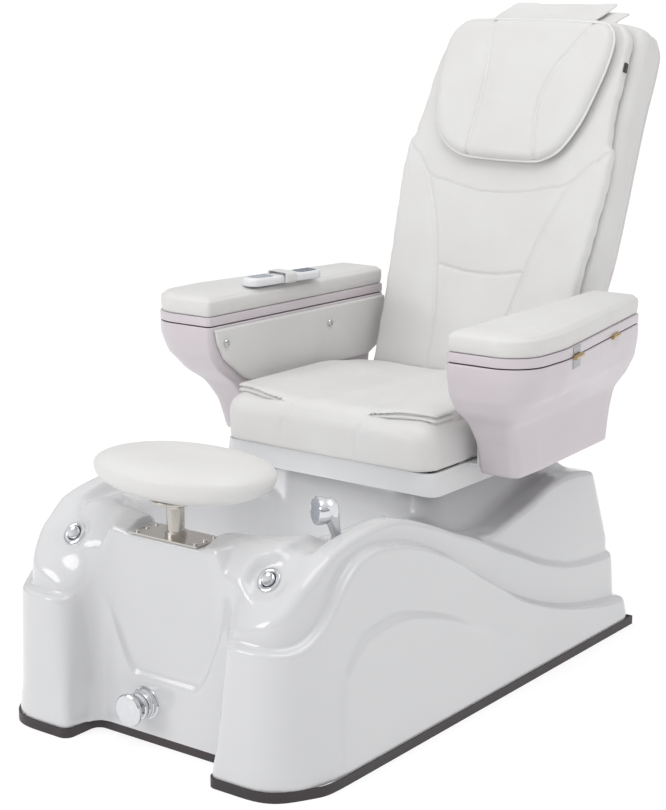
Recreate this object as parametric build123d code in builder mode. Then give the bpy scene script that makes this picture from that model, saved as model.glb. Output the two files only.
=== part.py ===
from build123d import *
import os
from math import cos, hypot, radians, sin

# Pedicure spa chair.  Millimetres, +Z up, -Y is the front (the sitter faces -Y),
# +X is the sitter's left.  The origin is on the floor, under the middle of the chair.
os.makedirs("parts", exist_ok=True)

# ---------------------------------------------------------------- driving dimensions
# base moulding
BASE_HALF = 390            # half width of the base at the floor
BASE_FRONT = -785          # front of the two foot lobes
BASE_REAR = 497
APRON_Y = -695             # face of the recess between the lobes
NOTCH_HALF = 185           # half width of that recess
LOBE_FLAT_X = 262          # where a lobe's front starts to round off
LOBE_END_Y = -590          # where a lobe's round corner meets the straight side
WALL = 6                   # acrylic and glass fibre wall
TRIM_H, TRIM_T = 20, 3     # black trim strip at the floor
SKY = 640                  # well above the base, for cutting tools
BANDS = (0, 36, 44)        # how far each terrace is set in from the floor outline
BAND_DRAFT = 10            # further draft of each terrace over its height
LEDGE_Z = 424              # ledge that carries the footrest
APRON_STEP_Z = 140         # top of the apron, below the step in the centre face
DECK_Z, DECK_HALF = 428, 306
REAR_DECK_Y = -95          # the rear deck starts here
COLUMN_FRONT, COLUMN_REAR, COLUMN_HALF, COLUMN_TOP = -114, 400, 235, 424
# side profiles (Y, Z) of the terraces
LOW_WAVE = [(-800, 285), (-705, 292), (-640, 345), (-573, 410), (-510, 427), (-400, 411),
            (-232, 339), (-77, 245), (89, 160), (266, 104), (520, 66)]
HIGH_WAVE = [(-770, 320), (-722, 340), (-679, 390), (-635, 431), (-560, 454), (-471, 462),
             (-380, 453), (-264, 412), (-114, 351), (47, 278), (180, 223), (311, 193), (520, 182)]
TAIL_WAVE = [(-100, 342), (-20, 337), (60, 350), (150, 366), (240, 386), (310, 388), (400, 374),
             (470, 330)]
# basin
BASIN_FLOOR_Z = 150
BASIN_FRONT, BASIN_BACK, BASIN_HALF = -606, -120, 226
# footrest
POST_Y, POST_R = -655, 17.5
PAD_L, PAD_W, PAD_H, PAD_Z = 400, 260, 90, 503
# fittings
BUTTON_X, BUTTON_Y, BUTTON_Z, BUTTON_TILT = 250, -679, 390, 50
BEZEL_R, BUTTON_R = 25, 14
MIXER_X, MIXER_Z, ESCUTCHEON_R = -50, 82, 34
SPRAY_X, SPRAY_Y, SPRAY_R = 290, -517, 29
# seat
TRAY_HALF, TRAY_FRONT, TRAY_REAR, TRAY_Z, TRAY_TOP = 282, -178, 330, 438, 486
CUSHION_HALF, CUSHION_FRONT, CUSHION_REAR = 276, -194, 322
CUSHION_Z, CUSHION_TOP = 498, 604
BEAM_X, BEAM_Z, BEAM_TOP = 200, 450, 480
RAIL_X = 120
# armrests (left one, at +X; the right one is its mirror image)
ARM_TOP, LID_Z, LID_TOP, ARM_PAD_TOP = 728, 730, 750, 797
ARM_WALL = 4
ARM_SECTIONS = [           # z, front y, rear y, outer x at the front, outer x at the rear
    (467, -42, 350, 396, 374),
    (540, -66, 351, 403, 380),
    (590, -104, 356, 414, 388),
    (622, -149, 388, 446, 401),
    (655, -176, 412, 482, 409),
    (700, -186, 418, 497, 413),
    (ARM_TOP, -188, 418, 497, 413)]
ARM_BEND_Y = -20           # the outer edge turns inwards behind this line
HINGE_Y = (26, 268)
HINGE_R, HINGE_PIN_R = 5, 2
# backrest: a plane through BACK_POINT, leaning back by BACK_TILT
BACK_TILT = 20.2
BACK_POINT = (0, 534, 1086)
BACK_DEPTH = 150
PIVOT_Y, PIVOT_Z, SHAFT_R = 400, 540, 8
BODY_HALF = [(262, -540), (262, -390), (280, -240), (288, -92), (286, 0), (276, 120), (266, 250)]
BODY_TOP = 356
COVER_HALF = [(256, -538), (259, -390), (270, -242), (284, -92), (276, -3), (260, 30), (264, 110),
              (258, 200), (236, 276), (190, 322)]
# recline actuator
STRUT_Y, STRUT_Z, EYE_Y, EYE_Z = 75, 458, 398, 462
FIT = 0.05                 # radial clearance of a running fit

BACK = Plane(origin=BACK_POINT, x_dir=(1, 0, 0),
             z_dir=(0, -cos(radians(BACK_TILT)), sin(radians(BACK_TILT))))
LEFT_RIGHT = ((1, "left"), (-1, "right"))


def side_by_side(part, side):
    """The part itself for the left side, its mirror image for the right."""
    return part if side > 0 else part.mirror(Plane.YZ)


# ---------------------------------------------------------------- base moulding
def base_plan(inset, height):
    """Outline of the base, drawn in by inset, on the level plane at height."""
    half, front, rear = BASE_HALF - inset, BASE_FRONT + inset, BASE_REAR - inset
    notch, apron = NOTCH_HALF + inset, APRON_Y + inset
    with BuildSketch(Plane.XY.offset(height)) as plan:
        with BuildLine():
            Polyline((0, apron), (notch, apron), (notch, front), (LOBE_FLAT_X, front))
            Spline((LOBE_FLAT_X, front), (half - 52, front + 23), (half - 19, front + 71),
                   (half, LOBE_END_Y), tangents=((1, 0), (0, 1)))
            Polyline((half, LOBE_END_Y), (half, rear), (0, rear))
            mirror(about=Plane.YZ)
        make_face()
        corners = plan.vertices()
        fillet(corners.filter_by(lambda v: abs(abs(v.X) - notch) < 1), radius=20)
        fillet(corners.filter_by(lambda v: abs(v.Y - rear) < 1 and abs(v.X) > 1), radius=30)
    return plan.sketch


def tail_plan(inset, height):
    """Outline of the raised rear deck around the pedestal."""
    half, rear = BASE_HALF - inset, BASE_REAR - inset
    with BuildSketch(Plane.XY.offset(height)) as plan:
        with Locations((0, (REAR_DECK_Y + rear) / 2)):
            Rectangle(2 * half, rear - REAR_DECK_Y)
        fillet(plan.vertices().group_by(Axis.Y)[-1], radius=60 - inset / 2)
    return plan.sketch


def above(profile, drop):
    """Everything above a side profile that is lowered by drop, across the whole width."""
    points = [(y, z - drop) for y, z in profile]
    with BuildPart() as tool:
        with BuildSketch(Plane.YZ):
            with BuildLine():
                Spline(*points)
                Polyline(points[-1], (points[-1][0], SKY), (points[0][0], SKY), points[0])
            make_face()
        extrude(amount=BASE_HALF + 50, both=True)
    return tool.part


def block(x_half, y_range, z_range):
    """Box that is symmetric about X = 0."""
    size = (2 * x_half, y_range[1] - y_range[0], z_range[1] - z_range[0])
    with BuildPart() as tool:
        with Locations((0, sum(y_range) / 2, sum(z_range) / 2)):
            Box(*size)
    return tool.part


def column(inset, top):
    """Pedestal under the seat, flared towards its foot."""
    middle = (COLUMN_FRONT + COLUMN_REAR) / 2
    depth = COLUMN_REAR - COLUMN_FRONT - 2 * inset
    with BuildPart() as tool:
        for z, flare in ((250, 26), (360, 8), (top, 0)):
            with BuildSketch(Plane.XY.offset(z)):
                with Locations((0, middle + flare / 2)):
                    RectangleRounded(2 * (COLUMN_HALF - inset + flare), depth + flare, 45 - inset)
        loft()
    return tool.part


def basin(wall):
    """Space of the foot basin, grown by wall all round."""
    with BuildPart() as tool:
        for z, half, front, back in ((BASIN_FLOOR_Z - wall, 165, -560, -165),
                                     (DECK_Z, BASIN_HALF, BASIN_FRONT, BASIN_BACK),
                                     (SKY, BASIN_HALF + 20, BASIN_FRONT - 10, BASIN_BACK + 2)):
            with BuildSketch(Plane.XY.offset(z)):
                with Locations((0, (front + back) / 2)):
                    RectangleRounded(2 * (half + wall), back - front + 2 * wall, 70)
        loft(ruled=True)
    return tool.part


def terraces(inset, drop):
    """Body of the base in three wave-topped terraces, shrunk by inset and lowered by drop."""
    low, high, tail = (band + inset for band in BANDS)
    floor = 0 if inset else 2
    with BuildPart() as body:
        extrude(base_plan(low, floor), amount=TRIM_H - floor)
        loft([base_plan(low, TRIM_H), base_plan(low + BAND_DRAFT, SKY - 100)])
        add(above(LOW_WAVE, drop), mode=Mode.SUBTRACT)
        add(block(NOTCH_HALF + inset + 12, (APRON_Y - 5, APRON_Y + 6 + inset),
                  (APRON_STEP_Z - drop, SKY)), mode=Mode.SUBTRACT)
        loft([base_plan(high, TRIM_H), base_plan(high + BAND_DRAFT / 2, SKY - 100)])
        add(above(HIGH_WAVE, drop), mode=Mode.SUBTRACT)
        add(block(NOTCH_HALF + 45 - inset, (APRON_Y + 6 + inset, APRON_Y + 90),
                  (TRIM_H, LEDGE_Z - drop)))
        add(block(NOTCH_HALF + 37 - inset, (BASE_FRONT, BASIN_FRONT + 1), (LEDGE_Z - drop, SKY)),
            mode=Mode.SUBTRACT)
        add(block(DECK_HALF + inset, (BASIN_FRONT + 1, REAR_DECK_Y), (DECK_Z - drop, SKY)),
            mode=Mode.SUBTRACT)
    with BuildPart() as rear:
        loft([tail_plan(tail, TRIM_H), tail_plan(tail + BAND_DRAFT, SKY - 100)])
        add(above(TAIL_WAVE, drop), mode=Mode.SUBTRACT)
        add(block(BASE_HALF, (BASE_FRONT - 10, REAR_DECK_Y + inset), (0, SKY)), mode=Mode.SUBTRACT)
    with BuildPart() as whole:
        add(body.part)
        add(rear.part)
        add(column(inset, COLUMN_TOP + (20 if inset else 0)))
    return whole.part


def button_plane(side):
    """Plane of an air button, on the sloping shoulder of a lobe."""
    tilt = radians(BUTTON_TILT)
    return Plane(origin=(side * BUTTON_X, BUTTON_Y, BUTTON_Z), x_dir=(1, 0, 0),
                 z_dir=(0, -sin(tilt), cos(tilt)))


DRAIN = (0, -360)
DRAIN_R, DRAIN_PIPE_R, DRAIN_PIPE_Z, DRAIN_PIPE_X = 34, 20, 82, 110
INLET_X, INLET_Z, INLET_R = (-110, -60), 70, 10
SPRAY_PLANE = Plane(origin=(SPRAY_X, SPRAY_Y, DECK_Z), x_dir=(1, 0, 0), z_dir=(0, -0.35, 0.937))

with BuildPart() as hollow:
    add(terraces(WALL, WALL))
    add(basin(WALL), mode=Mode.SUBTRACT)

with BuildPart() as tub_shell:
    add(terraces(0, 0))
    add(basin(0), mode=Mode.SUBTRACT)
    add(hollow.part, mode=Mode.SUBTRACT)
    with Locations((*DRAIN, BASIN_FLOOR_Z)):
        Cylinder(DRAIN_R - 8, 30, mode=Mode.SUBTRACT)
    with Locations((0, POST_Y, LEDGE_Z)):
        Cylinder(POST_R + 6, 60, mode=Mode.SUBTRACT)
    with Locations(Location((DRAIN_PIPE_X, BASE_REAR, DRAIN_PIPE_Z), (90, 0, 0))):
        Cylinder(DRAIN_PIPE_R + 1, 120, mode=Mode.SUBTRACT)
    for inlet_x in INLET_X:
        with Locations(Location((inlet_x, BASE_REAR, INLET_Z), (90, 0, 0))):
            Cylinder(INLET_R + 1, 120, mode=Mode.SUBTRACT)
    with Locations(Location((MIXER_X, APRON_Y, MIXER_Z), (90, 0, 0))):
        Cylinder(18, 30, mode=Mode.SUBTRACT)
    for side in (1, -1):
        with Locations(button_plane(side)):
            Cylinder(BUTTON_R + 4, 50, mode=Mode.SUBTRACT)
            Cylinder(BEZEL_R, 50, align=(Align.CENTER, Align.CENTER, Align.MIN), mode=Mode.SUBTRACT)
    with Locations(SPRAY_PLANE):
        Cylinder(12, 40, mode=Mode.SUBTRACT)
        Cylinder(24, 40, align=(Align.CENTER, Align.CENTER, Align.MIN), mode=Mode.SUBTRACT)
tub_shell.part.label = "tub_shell"
export_step(tub_shell.part, "parts/tub_shell.step")

with BuildPart() as kick_trim:
    extrude(base_plan(-TRIM_T, 0), amount=TRIM_H)
    extrude(base_plan(0, 0), amount=TRIM_H, mode=Mode.SUBTRACT)
kick_trim.part.label = "kick_trim"
export_step(kick_trim.part, "parts/kick_trim.step")

# ---------------------------------------------------------------- base structure and plumbing
FRAME_X, FRAME_TUBE, FRAME_Z = 170, 40, 16
FRAME_FRONT, FRAME_REAR, POST_YS = -60, 360, (-40, 320)
PLATE_T = 6
RAIL_W, RAIL_H, RUNNER_W = 40, 14, 23.6
RAIL_Z = COLUMN_TOP + PLATE_T
SLIDE_X, SLIDE_Z, SLIDE_TUBE_R, SLIDE_ROD_R = 50, 440, 8.5, 4

with BuildPart() as base_frame:
    with BuildSketch(Plane.XY.offset(FRAME_Z)):
        with Locations((FRAME_X, (FRAME_FRONT + FRAME_REAR) / 2),
                       (-FRAME_X, (FRAME_FRONT + FRAME_REAR) / 2)):
            Rectangle(FRAME_TUBE, FRAME_REAR - FRAME_FRONT)
        with Locations(*((0, y) for y in POST_YS)):
            Rectangle(2 * FRAME_X, FRAME_TUBE)
    extrude(amount=FRAME_TUBE)
    with BuildSketch(Plane.XY.offset(FRAME_Z)):
        with Locations(*((x, y) for x in (FRAME_X, -FRAME_X) for y in POST_YS)):
            Rectangle(FRAME_TUBE, FRAME_TUBE)
    extrude(amount=COLUMN_TOP - FRAME_Z)
base_frame.part.label = "base_frame"
export_step(base_frame.part, "parts/base_frame.step")

with BuildPart() as leveling_feet:
    with Locations(*((x, y) for x in (FRAME_X, -FRAME_X) for y in POST_YS)):
        Cylinder(24, 8, align=(Align.CENTER, Align.CENTER, Align.MIN))
        Cylinder(6, FRAME_Z, align=(Align.CENTER, Align.CENTER, Align.MIN))
leveling_feet.part.label = "leveling_feet"
export_step(leveling_feet.part, "parts/leveling_feet.step")

with BuildPart() as pedestal_plate:
    with BuildSketch(Plane.XY.offset(COLUMN_TOP)):
        with Locations((0, (COLUMN_FRONT + COLUMN_REAR) / 2)):
            RectangleRounded(2 * COLUMN_HALF - 6, COLUMN_REAR - COLUMN_FRONT - 6, 42)
    extrude(amount=PLATE_T)
pedestal_plate.part.label = "pedestal_plate"
export_step(pedestal_plate.part, "parts/pedestal_plate.step")

with BuildPart() as slide_rails:
    for x in (RAIL_X, -RAIL_X):
        with Locations((x, 115, RAIL_Z)):
            Box(RAIL_W, 450, RAIL_H, align=(Align.CENTER, Align.CENTER, Align.MIN))
        with Locations((x, 115, RAIL_Z + 4)):
            Box(RUNNER_W + 0.4, 460, RAIL_H, align=(Align.CENTER, Align.CENTER, Align.MIN),
                mode=Mode.SUBTRACT)
slide_rails.part.label = "slide_rails"
export_step(slide_rails.part, "parts/slide_rails.step")

with BuildPart() as slide_actuator:
    with Locations(Location((SLIDE_X, 60, SLIDE_Z), (-90, 0, 0))):
        Cylinder(SLIDE_TUBE_R, 270, align=(Align.CENTER, Align.CENTER, Align.MIN))
    with Locations((SLIDE_X, 350, RAIL_Z)):
        Box(44, 50, 19, align=(Align.CENTER, Align.CENTER, Align.MIN))
    with Locations((SLIDE_X, 300, RAIL_Z)):
        Box(12, 60, 4, align=(Align.CENTER, Align.CENTER, Align.MIN))
    with Locations(Location((SLIDE_X, 60, SLIDE_Z), (-90, 0, 0))):
        Cylinder(SLIDE_ROD_R + FIT, 240, align=(Align.CENTER, Align.CENTER, Align.MIN),
                 mode=Mode.SUBTRACT)
slide_actuator.part.label = "slide_actuator"
export_step(slide_actuator.part, "parts/slide_actuator.step")

with BuildPart() as drain_strainer:
    with Locations((*DRAIN, BASIN_FLOOR_Z)):
        Cylinder(DRAIN_R, 3, align=(Align.CENTER, Align.CENTER, Align.MIN))
        Cylinder(DRAIN_R - 8.5, 8, align=(Align.CENTER, Align.CENTER, Align.MAX))
        with PolarLocations(16, 8):
            Cylinder(4, 40, mode=Mode.SUBTRACT)
drain_strainer.part.label = "drain_strainer"
export_step(drain_strainer.part, "parts/drain_strainer.step")

with BuildPart() as drain_pipe:
    with BuildLine() as run:
        FilletPolyline((*DRAIN, BASIN_FLOOR_Z - 8), (*DRAIN, DRAIN_PIPE_Z),
                       (DRAIN_PIPE_X, -250, DRAIN_PIPE_Z), (DRAIN_PIPE_X, BASE_REAR + 30, DRAIN_PIPE_Z),
                       radius=45)
    with BuildSketch(Plane(origin=(*DRAIN, BASIN_FLOOR_Z - 8), z_dir=(0, 0, -1))):
        Circle(DRAIN_PIPE_R)
        Circle(DRAIN_PIPE_R - 3, mode=Mode.SUBTRACT)
    sweep()
    with BuildSketch(Plane(origin=(DRAIN_PIPE_X, BASE_REAR + 4, DRAIN_PIPE_Z), z_dir=(0, 1, 0))):
        Circle(DRAIN_PIPE_R + 4)
        Circle(DRAIN_PIPE_R - 3, mode=Mode.SUBTRACT)
    extrude(amount=34)
drain_pipe.part.label = "drain_pipe"
export_step(drain_pipe.part, "parts/drain_pipe.step")

with BuildPart() as water_inlets:
    for x in INLET_X:
        with Locations(Location((x, BASE_REAR - 70, INLET_Z), (-90, 0, 0))):
            Cylinder(INLET_R - 0.5, 96, align=(Align.CENTER, Align.CENTER, Align.MIN))
            Cylinder(INLET_R + 5, 8, align=(Align.CENTER, Align.CENTER, Align.MIN))
        with Locations(Location((x, BASE_REAR + 2, INLET_Z), (-90, 0, 0))):
            Cylinder(INLET_R + 0.5, 24, align=(Align.CENTER, Align.CENTER, Align.MIN))
        with Locations(Location((x, BASE_REAR - 70, INLET_Z), (-90, 0, 0))):
            Cylinder(INLET_R - 3, 96, align=(Align.CENTER, Align.CENTER, Align.MIN), mode=Mode.SUBTRACT)
water_inlets.part.label = "water_inlets"
export_step(water_inlets.part, "parts/water_inlets.step")

with BuildPart() as jet_pump:
    with Locations(Location((-60, 60, 100), (0, 90, 0))):
        Cylinder(48, 60)
    with Locations(Location((20, 60, 100), (0, 90, 0))):
        Cylinder(38, 100)
    with Locations((20, 60, 52)):
        Box(90, 70, 24)
    with Locations(Location((-60, 60, 100), (90, 0, 0))):
        Cylinder(14, 90, align=(Align.CENTER, Align.CENTER, Align.MIN))
jet_pump.part.label = "jet_pump"
export_step(jet_pump.part, "parts/jet_pump.step")

# ---------------------------------------------------------------- controls on the base
with BuildPart() as button_bezels:
    for side in (1, -1):
        with Locations(button_plane(side)):
            Cylinder(BEZEL_R - 0.3, 4, align=(Align.CENTER, Align.CENTER, Align.MIN))
            Cylinder(BUTTON_R + 3.5, 30, align=(Align.CENTER, Align.CENTER, Align.MAX))
            Cylinder(BUTTON_R + 0.3, 20, mode=Mode.SUBTRACT)
            Cylinder(5, 80, mode=Mode.SUBTRACT)
button_bezels.part.label = "button_bezels"
export_step(button_bezels.part, "parts/button_bezels.step")

for side, word in LEFT_RIGHT:
    with BuildPart() as air_button:
        with Locations(button_plane(side)):
            Cylinder(BUTTON_R, 8, align=(Align.CENTER, Align.CENTER, Align.MIN))
            Cylinder(4.6, 24, align=(Align.CENTER, Align.CENTER, Align.MAX))
    air_button.part.label = f"air_button_{word}"
    export_step(air_button.part, f"parts/air_button_{word}.step")

MIXER = Plane(origin=(MIXER_X, APRON_Y, MIXER_Z), x_dir=(1, 0, 0), z_dir=(0, -1, 0))
with BuildPart() as mixer_body:
    with BuildSketch(MIXER):
        Circle(ESCUTCHEON_R)
    extrude(amount=5)
    with BuildSketch(MIXER.offset(5)):
        Circle(24)
    extrude(amount=18)
    with BuildSketch(MIXER):
        Circle(17)
    extrude(amount=-26)
mixer_body.part.label = "mixer_body"
export_step(mixer_body.part, "parts/mixer_body.step")

with BuildPart() as mixer_cap:
    with BuildSketch(MIXER.offset(23.3)):
        Circle(21)
    extrude(amount=14)
    with BuildSketch(MIXER.offset(37.3)):
        with Locations((13, 0), (-13, 0)):
            Rectangle(5, 12)
    extrude(amount=6.5)
    with Locations(Location((MIXER_X, APRON_Y - 41, MIXER_Z), (0, 90, 0))):
        Cylinder(2.5, 32)
mixer_cap.part.label = "mixer_cap"
export_step(mixer_cap.part, "parts/mixer_cap.step")

with BuildPart() as mixer_lever:
    with BuildSketch(MIXER.offset(47.5)):
        Circle(ESCUTCHEON_R - 1)
    extrude(amount=9)
    with BuildSketch(MIXER.offset(39)):
        Rectangle(20, 8)
    extrude(amount=9)
    with Locations(Location((MIXER_X, APRON_Y - 41, MIXER_Z), (0, 90, 0))):
        Cylinder(2.5 + FIT, 40, mode=Mode.SUBTRACT)
mixer_lever.part.label = "mixer_lever"
export_step(mixer_lever.part, "parts/mixer_lever.step")

with BuildPart() as spray_socket:
    with Locations(SPRAY_PLANE):
        Cylinder(23.5, 8, align=(Align.CENTER, Align.CENTER, Align.MIN))
        Cylinder(11.5, 30, align=(Align.CENTER, Align.CENTER, Align.MAX))
        Cylinder(9, 90, mode=Mode.SUBTRACT)
spray_socket.part.label = "spray_socket"
export_step(spray_socket.part, "parts/spray_socket.step")

with BuildPart() as spray_head:
    with BuildSketch(SPRAY_PLANE.offset(-24)):
        Circle(8.5)
    extrude(amount=34)
    with BuildSketch(SPRAY_PLANE.offset(8.5)):
        Circle(15)
    with BuildSketch(SPRAY_PLANE.offset(60)):
        Circle(17)
    loft()
    with Locations(SPRAY_PLANE.offset(84)):
        Sphere(SPRAY_R)
spray_head.part.label = "spray_head"
export_step(spray_head.part, "parts/spray_head.step")

# ---------------------------------------------------------------- footrest
BRACKET_L, BRACKET_W, BRACKET_T = 172, 78, 3
SCREWS = [(x, y) for x in (-74, 74) for y in (-28, 0, 28)]
with BuildPart() as footrest_bracket:
    with Locations((0, POST_Y, LEDGE_Z)):
        Box(BRACKET_L, BRACKET_W, BRACKET_T, align=(Align.CENTER, Align.CENTER, Align.MIN))
        Cylinder(POST_R + 5, 130, align=(Align.CENTER, Align.CENTER, Align.MAX))
        Cylinder(POST_R + 4, 12, align=(Align.CENTER, Align.CENTER, Align.MIN))
        Cylinder(POST_R + FIT, 300, mode=Mode.SUBTRACT)
footrest_bracket.part.label = "footrest_bracket"
export_step(footrest_bracket.part, "parts/footrest_bracket.step")

with BuildPart() as footrest_screws:
    for x, y in SCREWS:
        with Locations((x, POST_Y + y, LEDGE_Z + BRACKET_T)):
            Cylinder(4.5, 2.4, align=(Align.CENTER, Align.CENTER, Align.MIN))
footrest_screws.part.label = "footrest_screws"
export_step(footrest_screws.part, "parts/footrest_screws.step")

with BuildPart() as footrest_post:
    with Locations((0, POST_Y, LEDGE_Z - 110)):
        Cylinder(POST_R, PAD_Z - 8 - LEDGE_Z + 110, align=(Align.CENTER, Align.CENTER, Align.MIN))
footrest_post.part.label = "footrest_post"
export_step(footrest_post.part, "parts/footrest_post.step")

with BuildPart() as footrest_plate:
    with Locations((0, POST_Y, PAD_Z - 7.7)):
        Cylinder(70, 7.4, align=(Align.CENTER, Align.CENTER, Align.MIN))
footrest_plate.part.label = "footrest_plate"
export_step(footrest_plate.part, "parts/footrest_plate.step")

with BuildPart() as footrest_pad:
    with BuildSketch(Plane.XY.offset(PAD_Z)):
        with Locations((0, POST_Y)):
            Ellipse(PAD_L / 2 - 12, PAD_W / 2 - 12)
    with BuildSketch(Plane.XY.offset(PAD_Z + PAD_H * 0.45)):
        with Locations((0, POST_Y)):
            Ellipse(PAD_L / 2, PAD_W / 2)
    with BuildSketch(Plane.XY.offset(PAD_Z + PAD_H)):
        with Locations((0, POST_Y)):
            Ellipse(PAD_L / 2 - 40, PAD_W / 2 - 40)
    loft(ruled=True)
footrest_pad.part.label = "footrest_pad"
export_step(footrest_pad.part, "parts/footrest_pad.step")

# ---------------------------------------------------------------- seat
BEAM_W, CROSS_YS = 30, (-140, 40)
LUG_X, LUG_T, LUG_R = 206, 8, 16
with BuildPart() as seat_frame:
    beam_l = PIVOT_Y + LUG_R - (TRAY_FRONT + 20)
    for x in (BEAM_X, -BEAM_X):
        with Locations((x, TRAY_FRONT + 20, BEAM_Z)):
            Box(BEAM_W, beam_l, BEAM_TOP - BEAM_Z, align=(Align.CENTER, Align.MIN, Align.MIN))
    for y in CROSS_YS:
        with Locations((0, y, BEAM_Z)):
            Box(2 * BEAM_X, BEAM_W, BEAM_TOP - BEAM_Z, align=(Align.CENTER, Align.CENTER, Align.MIN))
    for side in (1, -1):
        with BuildSketch(Plane.YZ.offset(side * LUG_X)):
            with Locations((PIVOT_Y, (BEAM_Z + PIVOT_Z) / 2)):
                Rectangle(2 * LUG_R, PIVOT_Z - BEAM_Z)
            with Locations((PIVOT_Y, PIVOT_Z)):
                Circle(LUG_R)
                Circle(SHAFT_R, mode=Mode.SUBTRACT)
        extrude(amount=LUG_T / 2, both=True)
    for x in (18, -18):
        with Locations((x, STRUT_Y - 10, STRUT_Z)):
            Box(4, 44, 24)
    with Locations(Location((0, STRUT_Y, STRUT_Z), (0, 90, 0))):
        Cylinder(5, 40)
    with Locations((SLIDE_X, CROSS_YS[0], SLIDE_Z)):
        Box(20, 12, 20)
seat_frame.part.label = "seat_frame"
export_step(seat_frame.part, "parts/seat_frame.step")

with BuildPart() as slide_runners:
    for x in (RAIL_X, -RAIL_X):
        with Locations((x, 25, RAIL_Z + 5)):
            Box(RUNNER_W, 350, BEAM_Z - RAIL_Z - 5, align=(Align.CENTER, Align.CENTER, Align.MIN))
    with Locations(Location((SLIDE_X, CROSS_YS[0] + 6, SLIDE_Z), (-90, 0, 0))):
        Cylinder(SLIDE_ROD_R, 325, align=(Align.CENTER, Align.CENTER, Align.MIN))
slide_runners.part.label = "slide_runners"
export_step(slide_runners.part, "parts/slide_runners.step")

BAR_YS = (-20, 190)
BAR_T, BAR_W = 6, 44
with BuildPart() as seat_tray:
    for grow, mode in ((0, Mode.ADD), (-6, Mode.SUBTRACT)):
        for z, half in ((TRAY_Z, TRAY_HALF), (TRAY_TOP, TRAY_HALF - 8)):
            with BuildSketch(Plane.XY.offset(z)):
                with Locations((0, (TRAY_FRONT + TRAY_REAR) / 2)):
                    RectangleRounded(2 * (half + grow), TRAY_REAR - TRAY_FRONT + 2 * grow, 24 + grow)
        loft(mode=mode)
    for y in BAR_YS:
        with Locations((0, y, TRAY_TOP)):
            Box(700, BAR_W + 1, 2 * (TRAY_TOP - BEAM_TOP) + 0.6, mode=Mode.SUBTRACT)
    with Locations((0, TRAY_REAR, TRAY_Z)):
        Box(2 * BEAM_X + BEAM_W + 8, 30, 2 * (BEAM_TOP - TRAY_Z) + 1, mode=Mode.SUBTRACT)
    with Locations((0, TRAY_REAR, TRAY_TOP)):
        Box(44, 30, 24, mode=Mode.SUBTRACT)
seat_tray.part.label = "seat_tray"
export_step(seat_tray.part, "parts/seat_tray.step")

with BuildPart() as seat_board:
    with Locations((0, (TRAY_FRONT + CUSHION_REAR) / 2, TRAY_TOP + 0.5)):
        Box(2 * TRAY_HALF - 40, CUSHION_REAR - TRAY_FRONT - 30, CUSHION_Z - TRAY_TOP - 0.5,
            align=(Align.CENTER, Align.CENTER, Align.MIN))
seat_board.part.label = "seat_board"
export_step(seat_board.part, "parts/seat_board.step")

with BuildPart() as seat_cushion:
    with BuildSketch(Plane.XY.offset(CUSHION_Z)):
        with Locations((0, (CUSHION_FRONT + CUSHION_REAR) / 2)):
            RectangleRounded(2 * CUSHION_HALF, CUSHION_REAR - CUSHION_FRONT, 26)
    extrude(amount=CUSHION_TOP - CUSHION_Z)
    fillet(seat_cushion.edges().group_by(Axis.Z)[-1], radius=24)
seat_cushion.part.label = "seat_cushion"
export_step(seat_cushion.part, "parts/seat_cushion.step")

with BuildPart() as seat_cover:
    for side in (1, -1):
        with BuildSketch(Plane.XY.offset(CUSHION_TOP)):
            with Locations((side * 175, -90)):
                RectangleRounded(150, 150, 20)
        extrude(amount=10)
seat_cover.part.label = "seat_cover"
export_step(seat_cover.part, "parts/seat_cover.step")

# ---------------------------------------------------------------- armrests
def arm_inner(y):
    """Inner face of an armrest; the two converge slightly towards the back."""
    return 309 - 0.035 * (y + 185)


def arm_plan(section, inset, lift=0):
    """Plan outline of the left armrest at one of its sections."""
    z, front, rear, outer_front, outer_rear = section
    front, rear = front + inset, rear - inset
    outer_front, outer_rear = outer_front - inset, outer_rear - inset
    corner = 68 if z > 600 else 40
    bend = max(ARM_BEND_Y, front + 80)
    with BuildSketch(Plane.XY.offset(z + lift)) as plan:
        with BuildLine():
            Polyline((arm_inner(front) + inset, front), (outer_front, front), (outer_front, bend),
                     (outer_rear, rear), (arm_inner(rear) + inset, rear),
                     (arm_inner(front) + inset, front))
        make_face()
        spots = plan.vertices()
        fillet(spots.filter_by(lambda v: v.X > outer_front - 1 and v.Y < front + 1),
               radius=corner - inset)
        fillet(spots.filter_by(lambda v: v.Y > rear - 1 or (v.X < 330 and v.Y < 0)), radius=12 - inset)
    return plan.sketch


def on_arm_edge(y):
    """Point of the straight outer edge of an armrest."""
    top = ARM_SECTIONS[-1]
    return top[3] + (top[4] - top[3]) * (y - ARM_BEND_Y) / (top[2] - ARM_BEND_Y)


EDGE_DX = on_arm_edge(HINGE_Y[1]) - on_arm_edge(HINGE_Y[0])
EDGE_L = hypot(EDGE_DX, HINGE_Y[1] - HINGE_Y[0])
EDGE_DIR = (EDGE_DX / EDGE_L, (HINGE_Y[1] - HINGE_Y[0]) / EDGE_L, 0)
EDGE_NORMAL = (EDGE_DIR[1], -EDGE_DIR[0], 0)
HINGE_Z = (ARM_TOP + LID_Z) / 2


def hinge_plane(y):
    """Plane flush with the armrest's outer face, with x along the hinge and y upwards."""
    return Plane(origin=(on_arm_edge(y), y, HINGE_Z), x_dir=EDGE_DIR, z_dir=EDGE_NORMAL)


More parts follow.
